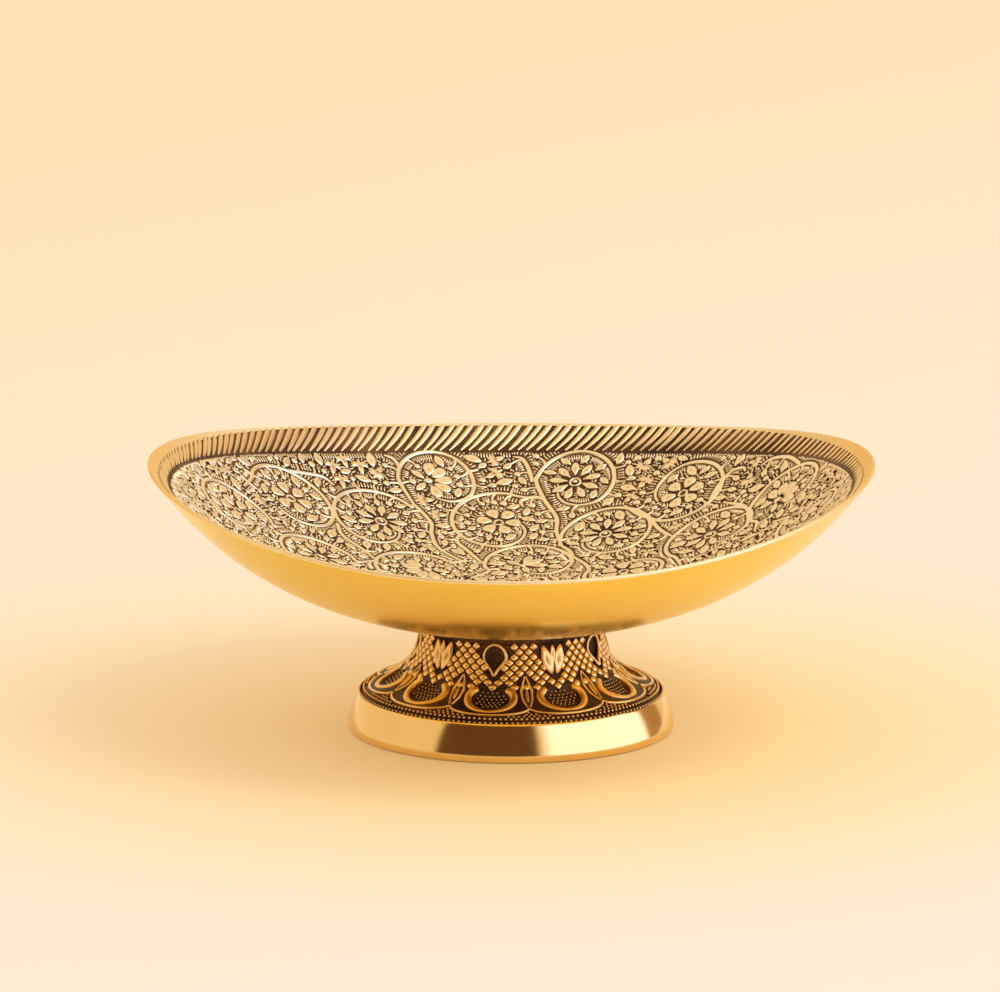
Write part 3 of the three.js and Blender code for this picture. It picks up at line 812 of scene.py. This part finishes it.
# Leaves and buds in what is left, the widest gaps first
FRINGE = 0.8  # room kept round each for ticks
LEAST_ROOM, LEAF_ROOM, TREFOIL_ROOM = 1.9, 2.15, 2.9
GAP_LOOK = 4  # cells to each side, to see which way the gap runs
from_middle = np.hypot(centres[:, None], centres[None, :])
room[from_middle > field_edge(np.arctan2(centres[None, :], centres[:, None]))] = 0
while room.max() >= LEAST_ROOM:
    row, column = np.unravel_index(room.argmax(), room.shape)
    free = room[row, column]
    place = centres[row], centres[column]
    size = 2 * (free - FRINGE)
    slope_u = room[row + GAP_LOOK, column] - room[row - GAP_LOOK, column]
    slope_v = room[row, column + GAP_LOOK] - room[row, column - GAP_LOOK]
    angle = math.atan2(slope_v, slope_u) + math.pi / 2 + rng.uniform(-0.3, 0.3)
    if free > TREFOIL_ROOM:
        set_motif("trefoils", place, angle, min(size * 1.3, 6.8), min(size * 1.05, 5.6))
    elif free > LEAF_ROOM:
        set_motif("leaves", place, angle, size * 1.5, size * 0.75)
    else:
        set_motif("buds", place, angle, size * 0.92, size * 0.92)

for name, shape in shapes.items():
    piece = stamped("vine_" + name, shape, chased_finish, PETAL_HEIGHT, motifs[name], on_dish,
                    -GROUND_DEPTH)
    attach(piece, "root")
stalks = beaded("vine_stalks", on_lines(stalk_paths + flower_rings), chased_finish, STALK_WIDTH,
                GROUND_DEPTH)
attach(stalks, "root")

# Ticks on the ground inside the dish
# The ground between stems and flowers is filled with short strokes of a fine chisel, set square to
# the nearest stem. The brass left between two strokes is a bright tick about 0.5 mm wide.
TICK_WIDTH = 0.46
TICK_LONGEST = 2.2
TICK_SHORTEST = 0.4
TICK_END_GAP = 0.24
TRAIL_STEP = 0.12
FINE = 2  # cells of the taken ground to one of the room

starts, headings = (np.concatenate([root[k] for root in tick_roots]) for k in (0, 1))
samples = np.arange(0.1, TICK_LONGEST, 0.15)
trail = starts[:, None, :] + headings[:, None, :] * samples[None, :, None]
within = field_edge(np.arctan2(trail[..., 1], trail[..., 0]))
open_way = (room_at(trail) > TICK_END_GAP) & (np.hypot(trail[..., 0], trail[..., 1]) < within)
lengths = np.where(open_way.all(axis=1), TICK_LONGEST, samples[np.argmin(open_way, axis=1)]) - 0.1

taken = np.zeros((cells * FINE, cells * FINE), bool)
ticks = []
for start, heading, length in zip(starts, headings, lengths):
    if length < TICK_SHORTEST:
        continue
    line = start + heading * np.arange(0, length, TRAIL_STEP)[:, None]
    index = ((line + GRID_EDGE) / CELL * FINE).astype(int)
    clash = taken[index[:, 0], index[:, 1]]
    if clash.any():
        first = clash.argmax()
        length = TRAIL_STEP * first - 0.1
        if length < TICK_SHORTEST:
            continue
        line = line[:first]
    aside = np.array([-heading[1], heading[0]])
    for shift in (-0.5, -0.25, 0, 0.25, 0.5):
        index = ((line + aside * shift + GRID_EDGE) / CELL * FINE).astype(int)
        taken[index[:, 0], index[:, 1]] = True
    ticks.append((*(start + heading * length / 2), *heading, length, TICK_WIDTH))

# Each tick is pale on top and dark at its foot, with patina and painted shade
shapes["tick"] = stamp("tick", ((-0.5, -0.5), (0.5, -0.5), (0.5, 0.5), (-0.5, 0.5)),
                       ((0.8, 1.0, 0.76),), bottom=-0.4)
ticks = np.array(ticks)
behind = ticks[:, 1] > 0
for name, half in (("ground_ticks_back", behind), ("ground_ticks_front", ~behind)):
    piece = stamped(name, shapes["tick"], chased_finish, 0.3, ticks[half], on_dish, -GROUND_DEPTH)
    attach(piece, "root")

# Foot
# One hollow brass casting, 45 mm in radius: a collar under the dish, a flaring side with its relief,
# and a band round the base that is turned and polished bright. The relief keeps a dark patina in its
# hollows; the inside is left as it came from the sand. A nut inside holds it to the dish.
FOOT_COLUMNS = 480
COLLAR_BOTTOM = 29.3
SIDE_TOP = 29.0
HOLE_RADIUS = 3.3
WEB_BOTTOM = 27.2
WEB_REACH = 22.5
FOOT_WALL = 3.0
SHOULDER = (40.2, 12.0)  # radius and height
BAND_TOP = (41.9, 10.3)
BAND_LIP = (44.9, 2.0)
BASE_RADIUS = 43.9
RING_INSIDE = 40.5
RING_TOP = 7.3
CHAMFER = 0.15
EDGE = 0.1  # how near a ring follows an edge to keep it crisp
SCALLOP_COUNT = 10
SCALLOP_TOP = 0.8  # of the side's length down to the cusps, and how far the scallops hang from them
SCALLOP_DROP = 0.165
FIRST_CUSP = math.radians(8 - 90)  # the cusp nearest to the front
SUNK_DEPTH = 0.5
GROUND_RISE = 0.45  # the ground comes up between the scrolls, from here to there down the side
RISE_START, RISE_END = 9.5, 11.5
PIT_PLACE = 16.3  # mm down the side
PIT_HALF_WIDTH = 5.1
PIT_HALF_HEIGHT = 3.9
PIT_DEPTH = 1.3
DROP_PLACE = 4.6
DROP_HALF_WIDTH = 3.0
DROP_HALF_LENGTH = 3.9
DROP_DEPTH = 0.5
ROUND = 33.0  # radius at which places round the foot are measured


def bezier(corners, count):
    """Points of a Bezier curve of any degree."""
    share = np.linspace(0, 1, count)[:, None]
    points = [np.array([corner], float) for corner in corners]
    while len(points) > 1:
        points = [before * (1 - share) + after * share for before, after in zip(points, points[1:])]
    return points[0]


# The side in profile, from the collar down, and the slope from its shoulder to the band
side_line = np.concatenate([
    [(SEAT_RADIUS, SIDE_TOP)],
    bezier(((SEAT_RADIUS, 27.0), (26.1, 20.4), (30.2, 14.2), SHOULDER), 160), [BAND_TOP]])
side_down = travel(side_line)
side_ahead = unit(np.gradient(side_line, axis=0))
SIDE_LENGTH, SLOPE_END = side_down[-2:]


def on_foot(places, lift=0.0):
    """Points of the foot's side from millimetres round and down it, and the normals there."""
    places = np.asarray(places, float)
    angle, down = places[:, 0] / ROUND, places[:, 1]
    radius, height, outward, upward = (np.interp(down, side_down, line) for line in (
        side_line[:, 0], side_line[:, 1], -side_ahead[:, 1], side_ahead[:, 0]))
    normal = unit(polar(outward, angle, upward))
    return polar(radius, angle, height) + normal * np.asarray(lift, float).reshape(-1, 1), normal


def round_foot(angle, across, down):
    """Places on the side: across millimetres beside a line that runs down it at an angle."""
    radius = np.interp(down, side_down, side_line[:, 0])
    return np.stack(np.broadcast_arrays(ROUND * (angle + across / radius), down), -1)


def scallop_edge(angle):
    across = 2 * (((angle - FIRST_CUSP) * SCALLOP_COUNT / math.tau) % 1) - 1
    return SIDE_LENGTH * (SCALLOP_TOP + SCALLOP_DROP * np.sqrt(np.maximum(0, 1 - across ** 2)))


pit_angles = FIRST_CUSP + (np.arange(SCALLOP_COUNT) + 0.5) * math.tau / SCALLOP_COUNT
foot_turn = FIRST_CUSP + np.linspace(0, math.tau, FOOT_COLUMNS, endpoint=False)


def side_relief(down):
    """How far the cast ground of the side stands out, all round, at a place down it."""
    below = smooth_step(down - scallop_edge(foot_turn), 0, 0.5)
    relief = -SUNK_DEPTH + GROUND_RISE * smooth_step(down, RISE_START, RISE_END) * (1 - below)
    relief *= 1 - smooth_step(down, SLOPE_END - 0.3, SLOPE_END)
    relief = relief * smooth_step(down, -0.01, 0.5)
    radius = np.interp(down, side_down, side_line[:, 0])
    for k, middle in enumerate(pit_angles):
        away = (foot_turn - middle + math.pi) % math.tau - math.pi
        hollows = [(PIT_PLACE, PIT_HALF_WIDTH, PIT_HALF_HEIGHT, PIT_DEPTH)]
        hollows += [(DROP_PLACE, DROP_HALF_WIDTH, DROP_HALF_LENGTH, DROP_DEPTH)] * (k % 2)
        for place, half_width, half_height, depth in hollows:
            reach = np.hypot(away * radius / half_width, (down - place) / half_height)
            relief -= depth * np.sqrt(np.maximum(0, 1 - reach ** 2))
    return relief


def side_rings(mark, downs, inset=None):
    rings = []
    for down in downs:
        places = np.stack([foot_turn * ROUND, np.full(FOOT_COLUMNS, down)], -1)
        rings.append((mark, on_foot(places, side_relief(down) if inset is None else -inset)[0]))
    return rings


def plain_rings(mark, *spots):
    return [(mark, polar(radius, foot_turn, height)) for radius, height in spots]


# Bright turned brass, its cutting lines 0.4 mm apart and nearly polished away.
band_finish = satin_brass("turned_polished_brass", ((0.3, "f2d08c"), (0.7, "f6d797")),
                          (0.09, 0.14), 0.0004, 0.04)
# Relief ground: nearly black patina with brown brass coming through, grain about 0.4 mm.
relief_finish = patina("patinated_cast_relief", (
    (0.38, "1f1208"), (0.5, "3b230f"), (0.64, "6e4720")), 0.45, 0.0004)
# Cast inside: dull brown-yellow brass with sand grain about 0.6 mm, never polished.
cast_finish = patina("sand_cast_brass", (
    (0.36, "7a5c30"), (0.5, "927041"), (0.64, "a98653")), 0.6, 0.0006)
# Raised relief: golden brown, rubbed to pale gold on its tops, and dark down its sides with patina
# and painted shade.
top_finish = chased_brass("cast_relief_rubbed_and_shaded", (
    (0.0, "2e1a0a"), (0.3, "8c5a24"), (0.62, "d29a4c"), (1.0, "f3d092")), (0.26, 0.45))

BAND, RELIEF, CAST = 0, 1, 2
base_round = bezier((BAND_LIP, (BAND_LIP[0], 0), (BASE_RADIUS, 0)), 7)[::-1]
band_side = bezier((BAND_LIP, (44.3, 4.6), (43.2, 7.8), BAND_TOP), 16)[1:]
foot_bands = [
    *plain_rings(BAND, (RING_INSIDE, 0), (RING_INSIDE + EDGE, 0), (BASE_RADIUS - EDGE, 0),
                 *base_round, *band_side),
    *side_rings(RELIEF, np.linspace(SLOPE_END - 0.02, 0.02, 90)),
    *plain_rings(RELIEF, (SEAT_RADIUS, SIDE_TOP + 0.02), (SEAT_RADIUS, COLLAR_BOTTOM),
                 (SEAT_RADIUS, COLLAR_BOTTOM + 0.02), (SEAT_RADIUS, SEAT_HEIGHT - CHAMFER)),
    *plain_rings(CAST, (SEAT_RADIUS - CHAMFER, SEAT_HEIGHT), (HOLE_RADIUS + EDGE / 2, SEAT_HEIGHT),
                 (HOLE_RADIUS, SEAT_HEIGHT), (HOLE_RADIUS, WEB_BOTTOM),
                 (HOLE_RADIUS + EDGE / 2, WEB_BOTTOM), (WEB_REACH - 0.5, WEB_BOTTOM)),
    *side_rings(CAST, np.linspace(2, SIDE_LENGTH - 0.5, 14), FOOT_WALL),
    *plain_rings(CAST, (RING_INSIDE, RING_TOP), (RING_INSIDE, RING_TOP - EDGE),
                 (RING_INSIDE, EDGE / 2))]
foot = lofted("foot_body", foot_bands, [band_finish, relief_finish, cast_finish], loop=True)
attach(foot, "root")
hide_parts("foot")

# Relief on the foot
# Cast with the foot and rubbed bright on top: a lattice of small raised squares, ten scrolls that
# open upwards round dark pits, a raised line along the scallops that rises to a spear between
# them, and five leaves and five teardrop hollows by turns above the pits.
SCROLL_WIDTH = 2.6
SCROLL_ACROSS = 6.4
SCROLL_DOWN = 5.25
SCROLL_OPEN = math.radians(42)  # half of its opening
LINE_BEAD = 1.0
LATTICE_ROUND = 60
LATTICE_ROW = 1.4
LATTICE_ROWS = 9
FIRST_ROW = 1.0
BEADS_ROUND = 176
BEAD_ROW = 1.15
MOTIF_HALF_WIDTH = 4.1  # kept free of lattice for the leaves and teardrops, which end here
MOTIF_END = 9.6
SCROLLS_START = 12.2
SCROLLS_HALF_WIDTH = 7
SPEAR_FOOT = 19.6
SPEAR_LENGTH = 10.6
foot_scrolls, foot_outlines, foot_leaves, foot_beads, foot_rims = [], [], [], [], []


def on_side(places, lift, swell):
    return *on_foot(places, lift), np.ones(len(places)) * swell


ends = np.abs(np.linspace(-1, 1, 44))
turn = np.linspace(-math.pi / 2 + SCROLL_OPEN, math.tau - math.pi / 2 - SCROLL_OPEN, 44)
curl = np.interp(ends, (0, 0.8, 1), (1, 1, 0.92))
thick = np.interp(ends, (0, 0.3, 0.7, 0.9, 1), (0.62, 0.85, 1, 1.05, 0.7))
drop_turn = np.linspace(0, math.tau, 40)
drop_across = 3.3 * np.cos(drop_turn) * (1 - 0.75 * smooth_step(np.sin(drop_turn), -0.3, 1.0))
rise = np.linspace(0, 1, 16)
spread = np.interp(rise, (0, 0.3, 0.6, 0.85, 1), (0.25, 1.25, 1.45, 0.7, 0.1))
leaf_fan = ((0, 6.0, 1.6, 0, 3.4), (0.32, 9.2, 3.2, 1.7, 4.8), (-0.32, 9.2, 3.2, -1.7, 4.8))
for k, middle in enumerate(pit_angles):
    down = PIT_PLACE + SCROLL_DOWN * curl * np.sin(turn) + 2 * (1 - curl)
    scroll = round_foot(middle, SCROLL_ACROSS * curl * np.cos(turn), down)
    foot_scrolls.append(on_side(scroll, -0.35, thick))
    angle = middle + np.linspace(-0.985, 0.985, 40) * math.pi / SCALLOP_COUNT
    outline = np.stack([angle * ROUND, scallop_edge(angle) - 0.2], -1)
    foot_outlines.append(on_side(outline, -0.3, 1))
    cusp = middle + math.pi / SCALLOP_COUNT
    for hand in (1, -1):
        spear = round_foot(cusp, hand * spread, SPEAR_FOOT - SPEAR_LENGTH * rise)
        foot_outlines.append(on_side(spear, -0.25, np.interp(rise, (0, 0.6, 1), (0.8, 1, 0.5))))
    foot_leaves.append((*round_foot(cusp, 0, 15.2), 0, -1, 5.2, 0.9))
    if k % 2 == 0:
        for lean, length, width, across, down in leaf_fan:
            foot_leaves.append((*round_foot(middle, across, down), math.sin(lean),
                                -math.cos(lean), length, width))
    else:
        rim = round_foot(middle, drop_across, DROP_PLACE + 4.2 * np.sin(drop_turn))
        swell = np.interp(np.cos(drop_turn), (-1, 1), (0.8, 1.2))
        foot_rims.append(on_side(rim, -SUNK_DEPTH, swell))

# Small beads in the pits, and rows of beads in the sunk ring under the scallops
for middle in pit_angles:
    for row, down in enumerate(np.arange(-2.6, 2.7, 1.0)):
        for across in np.arange(-5, 5.1, 1.3) + 0.65 * (row % 2):
            if math.hypot(across / (PIT_HALF_WIDTH - 0.9), down / (PIT_HALF_HEIGHT - 0.5)) < 1:
                hollow = math.sqrt(1 - (across / PIT_HALF_WIDTH) ** 2
                                   - (down / PIT_HALF_HEIGHT) ** 2)
                foot_beads.append((*round_foot(middle, across, PIT_PLACE + down), 0, -1, 0.62, 0.62,
                                   -PIT_DEPTH * hollow - 0.1))
for row, down in enumerate(np.arange(SIDE_LENGTH * SCALLOP_TOP + 0.9, SLOPE_END - 0.9, BEAD_ROW)):
    for k in range(BEADS_ROUND):
        angle = math.tau * (k + 0.5 * (row % 2)) / BEADS_ROUND
        if down > scallop_edge(angle) + 0.8:
            foot_beads.append((angle * ROUND, down, 0, -1, 1.0, 0.95, -SUNK_DEPTH))
for k in range(BEADS_ROUND):
    angle = math.tau * (k + 0.25) / BEADS_ROUND
    foot_beads.append((angle * ROUND, SLOPE_END - 0.35, 0, -1, 0.8, 0.9, -0.25))

# Lattice squares wherever nothing else stands
nearby = [(line[0], reach) for group, reach in (
    (foot_scrolls, 1.55), (foot_outlines, 1.25), (foot_rims, 1.2)) for line in group]
lines = np.concatenate([points for points, _ in nearby])
reaches = np.concatenate([np.full(len(points), reach) for points, reach in nearby])
squares = []
for row in range(LATTICE_ROWS):
    down = FIRST_ROW + LATTICE_ROW * row
    angle = FIRST_CUSP + math.tau * (np.arange(LATTICE_ROUND) + 0.5 * (row % 2)) / LATTICE_ROUND
    places = np.stack([angle * ROUND, np.full(LATTICE_ROUND, down)], -1)
    spots, _ = on_foot(places)
    gaps = np.linalg.norm(spots[:, None, :] - lines[None, :, :], axis=-1) - reaches
    from_axis = np.hypot(spots[:, 0], spots[:, 1])
    phase = (angle - FIRST_CUSP) * SCALLOP_COUNT / math.tau
    beside = np.abs(phase % 1 - 0.5) * math.tau / SCALLOP_COUNT * from_axis
    narrowed = MOTIF_HALF_WIDTH * np.clip(1.25 - down / 9.8, 0, 1)
    motif_here = (beside < narrowed) & (down < MOTIF_END)
    in_scroll = (down > SCROLLS_START) & (beside < SCROLLS_HALF_WIDTH)
    width = math.tau / LATTICE_ROUND * from_axis[0]
    keep = (gaps.min(axis=1) > -0.25) & ~motif_here & ~in_scroll
    squares += [(*place, 0, -1, 2 * LATTICE_ROW * 0.98, width * 0.98) for place in places[keep]]

# Squares and beads are pale on top and dark at their foot, with patina and painted shade
shapes["diamond"] = stamp("diamond", ((0.5, 0), (0, 0.5), (-0.5, 0), (0, -0.5)),
                          ((0.96, 0.25, 0.1), (0.72, 1.0, 1.0)))
shapes["cast_bead"] = stamp("cast_bead", rounded_outline(8), ((0.85, 0.6, 0.4), (0.45, 1.0, 1.0)))
foot_beads = np.array(foot_beads)
cast = [stamped(name, shapes[shape], top_finish, height, places, on_foot, lift)
        for name, shape, height, places, lift in (
            ("foot_lattice", "diamond", 0.6, squares, -SUNK_DEPTH),
            ("foot_leaves", "leaves", 0.8, foot_leaves, -0.3),
            ("foot_beads", "cast_bead", 0.55, foot_beads[:, :6], foot_beads[:, 6]))]
cast += [beaded(name, lines, top_finish, width, height) for name, lines, width, height in (
    ("foot_scrolls", foot_scrolls, SCROLL_WIDTH, 0.95),
    ("foot_outlines", foot_outlines, LINE_BEAD, 0.7),
    ("foot_teardrop_rims", foot_rims, LINE_BEAD, 0.85))]
for piece in cast:
    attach(piece, "root")

# Stud, washers and nut inside the foot
# Brass stud brazed to the dish, brass washer and nut, as machined and slightly dulled, and a
# zinc-plated steel spring washer between them. Their shapes are the CAD's.
machined_finish = satin_brass("machined_brass", ((0.3, "c79d5b"), (0.7, "d2aa68")),
                              (0.28, 0.42), 0.0003, 0.15)
# Bright zinc plating: blue-white crystals 0.9 mm across
zinc_finish, tree, place = new_finish("zinc_plated_steel")
crystals = add(tree, "ShaderNodeTexVoronoi", {"Vector": place, "Scale": 1 / 0.0009})
tone = add(tree, "ShaderNodeSeparateColor", {0: crystals.outputs["Color"]})
surfaced(zinc_finish, {"Metallic": 1.0, "Roughness": 0.35}, tone,
         ((0.2, "b4b8bd"), (0.8, "c8ccd0")))
for node, finish in (("fixing_stud", machined_finish), ("flat_washer", machined_finish),
                     ("hex_nut", machined_finish), ("spring_washer", zinc_finish)):
    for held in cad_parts[node].material_slots:
        held.material = finish

# Floor and light
# A pale matt paper floor that runs out of sight, a little deeper in tone far away, and painted
# warmer round the bowl as painted light thrown back from the brass. The room gives soft light all
# round, from a broad window on the right, and is dark in front, behind the camera.
FLOOR_SIZE = 12.0
paper, tree, place = new_finish("matt_paper")
parts = add(tree, "ShaderNodeSeparateXYZ", {0: place}).outputs
far = add(tree, "ShaderNodeMath", {0: parts[0], 1: -1.2, 2: parts[1]}, operation="MULTIPLY_ADD")
depth = add(tree, "ShaderNodeMapRange", {"Value": far, "From Min": -0.4, "From Max": 1.1})
deeper = add(tree, "ShaderNodeValToRGB", {"Fac": depth}, (
    (0.0, "fde9e0"), (0.4, "fde6d6"), (1.0, "fbe2c0")))
# Painted warm light round the bowl, standing in for light thrown back from the brass into its shadow
from_bowl = add(tree, "ShaderNodeVectorMath", {0: place}, operation="LENGTH").outputs["Value"]
painted_brass_glow = add(tree, "ShaderNodeMapRange", {"Value": from_bowl, "From Min": 0.26, "From Max": 0.07},
           interpolation_type="SMOOTHSTEP")
mixed = add(tree, "ShaderNodeMix", data_type="RGBA", links={0: painted_brass_glow, 6: deeper, 7: linear("fde9bc")})
surfaced(paper, {"Base Color": mixed.outputs[2], "Roughness": 0.9})
half = FLOOR_SIZE / 2
floor = new_piece("floor", [(-half, -half, 0), (half, -half, 0), (half, half, 0), (-half, half, 0)],
                  [], [(0, 1, 2, 3)], [paper])
floor.location.z = -0.0001

world = bpy.data.worlds.new("studio")
scene.world = world
world.use_nodes = True
room_tree = world.node_tree
room_tree.nodes.clear()
direction = add(room_tree, "ShaderNodeTexCoord").outputs["Generated"]
across, away, upward = add(room_tree, "ShaderNodeSeparateXYZ", {0: direction}).outputs
front = add(room_tree, "ShaderNodeMath", {0: away, 1: -1.0}, operation="MULTIPLY")
bearing = add(room_tree, "ShaderNodeMath", {0: across, 1: front}, operation="ARCTAN2")


def between(value, low_start, low_end, high_start, high_end):
    """1 between two edges of a value and 0 outside them, each edge as soft as its two ends say."""
    share = 1.0
    for start, end in ((low_start, low_end), (high_end, high_start)):
        edge = add(room_tree, "ShaderNodeMapRange", {
            "Value": value, "From Min": start, "From Max": end}, interpolation_type="SMOOTHSTEP")
        share = add(room_tree, "ShaderNodeMath", {0: edge, 1: share}, operation="MULTIPLY")
    return share


# What the metal mirrors: a warm room, its dark corner behind the camera, and the bright window
low_part = between(upward, -2, -1, 0.7, 0.9)
mirrored = add(room_tree, "ShaderNodeBackground", {"Color": linear("fde0b4"), "Strength": 0.95})
for edges, colour, strength in (((-57, -52, 17, 23), "654326", 1.0),
                                ((20, 32, 108, 116), "d4def6", 2.1),
                                ((111, 117, 134, 140), "b98c5c", 1.0)):
    round_part = between(bearing, *[math.radians(edge) for edge in edges])
    region = add(room_tree, "ShaderNodeMath", {0: round_part, 1: low_part}, operation="MULTIPLY")
    part = add(room_tree, "ShaderNodeBackground", {"Color": linear(colour), "Strength": strength})
    mirrored = add(room_tree, "ShaderNodeMixShader", {0: region, 1: mirrored, 2: part})
# Light on matt surfaces: strongest near the horizon, so that it reaches in under the bowl
low_glow = add(room_tree, "ShaderNodeMapRange", {
    "Value": upward, "From Max": 0.7, "To Min": 2.35, "To Max": 0.75})
around = add(room_tree, "ShaderNodeBackground", {"Color": linear("fff4e4"), "Strength": low_glow})
backdrop = add(room_tree, "ShaderNodeBackground", {"Color": linear("feeac6"), "Strength": 1.0})
rays = add(room_tree, "ShaderNodeLightPath").outputs
in_metal = add(room_tree, "ShaderNodeMixShader", {0: rays["Is Glossy Ray"], 1: around, 2: mirrored})
seen = add(room_tree, "ShaderNodeMixShader", {0: rays["Is Camera Ray"], 1: in_metal, 2: backdrop})
add(room_tree, "ShaderNodeOutputWorld", {"Surface": seen})

light = bpy.data.lights.new("lamp_above", "AREA")
light.shape = "RECTANGLE"
light.size, light.size_y = 1.6, 1.6
light.energy = 16
light.color = linear("fff4e2")[:3]
lamp = bpy.data.objects.new("lamp_above", light)
lamp.location = (1.3, -0.9, 2.4)
lamp.rotation_euler = (Vector((0, 0, 0.04)) - lamp.location).to_track_quat("-Z", "Y").to_euler()
scene.collection.objects.link(lamp)

for shape in shapes.values():
    bpy.data.objects.remove(shape)
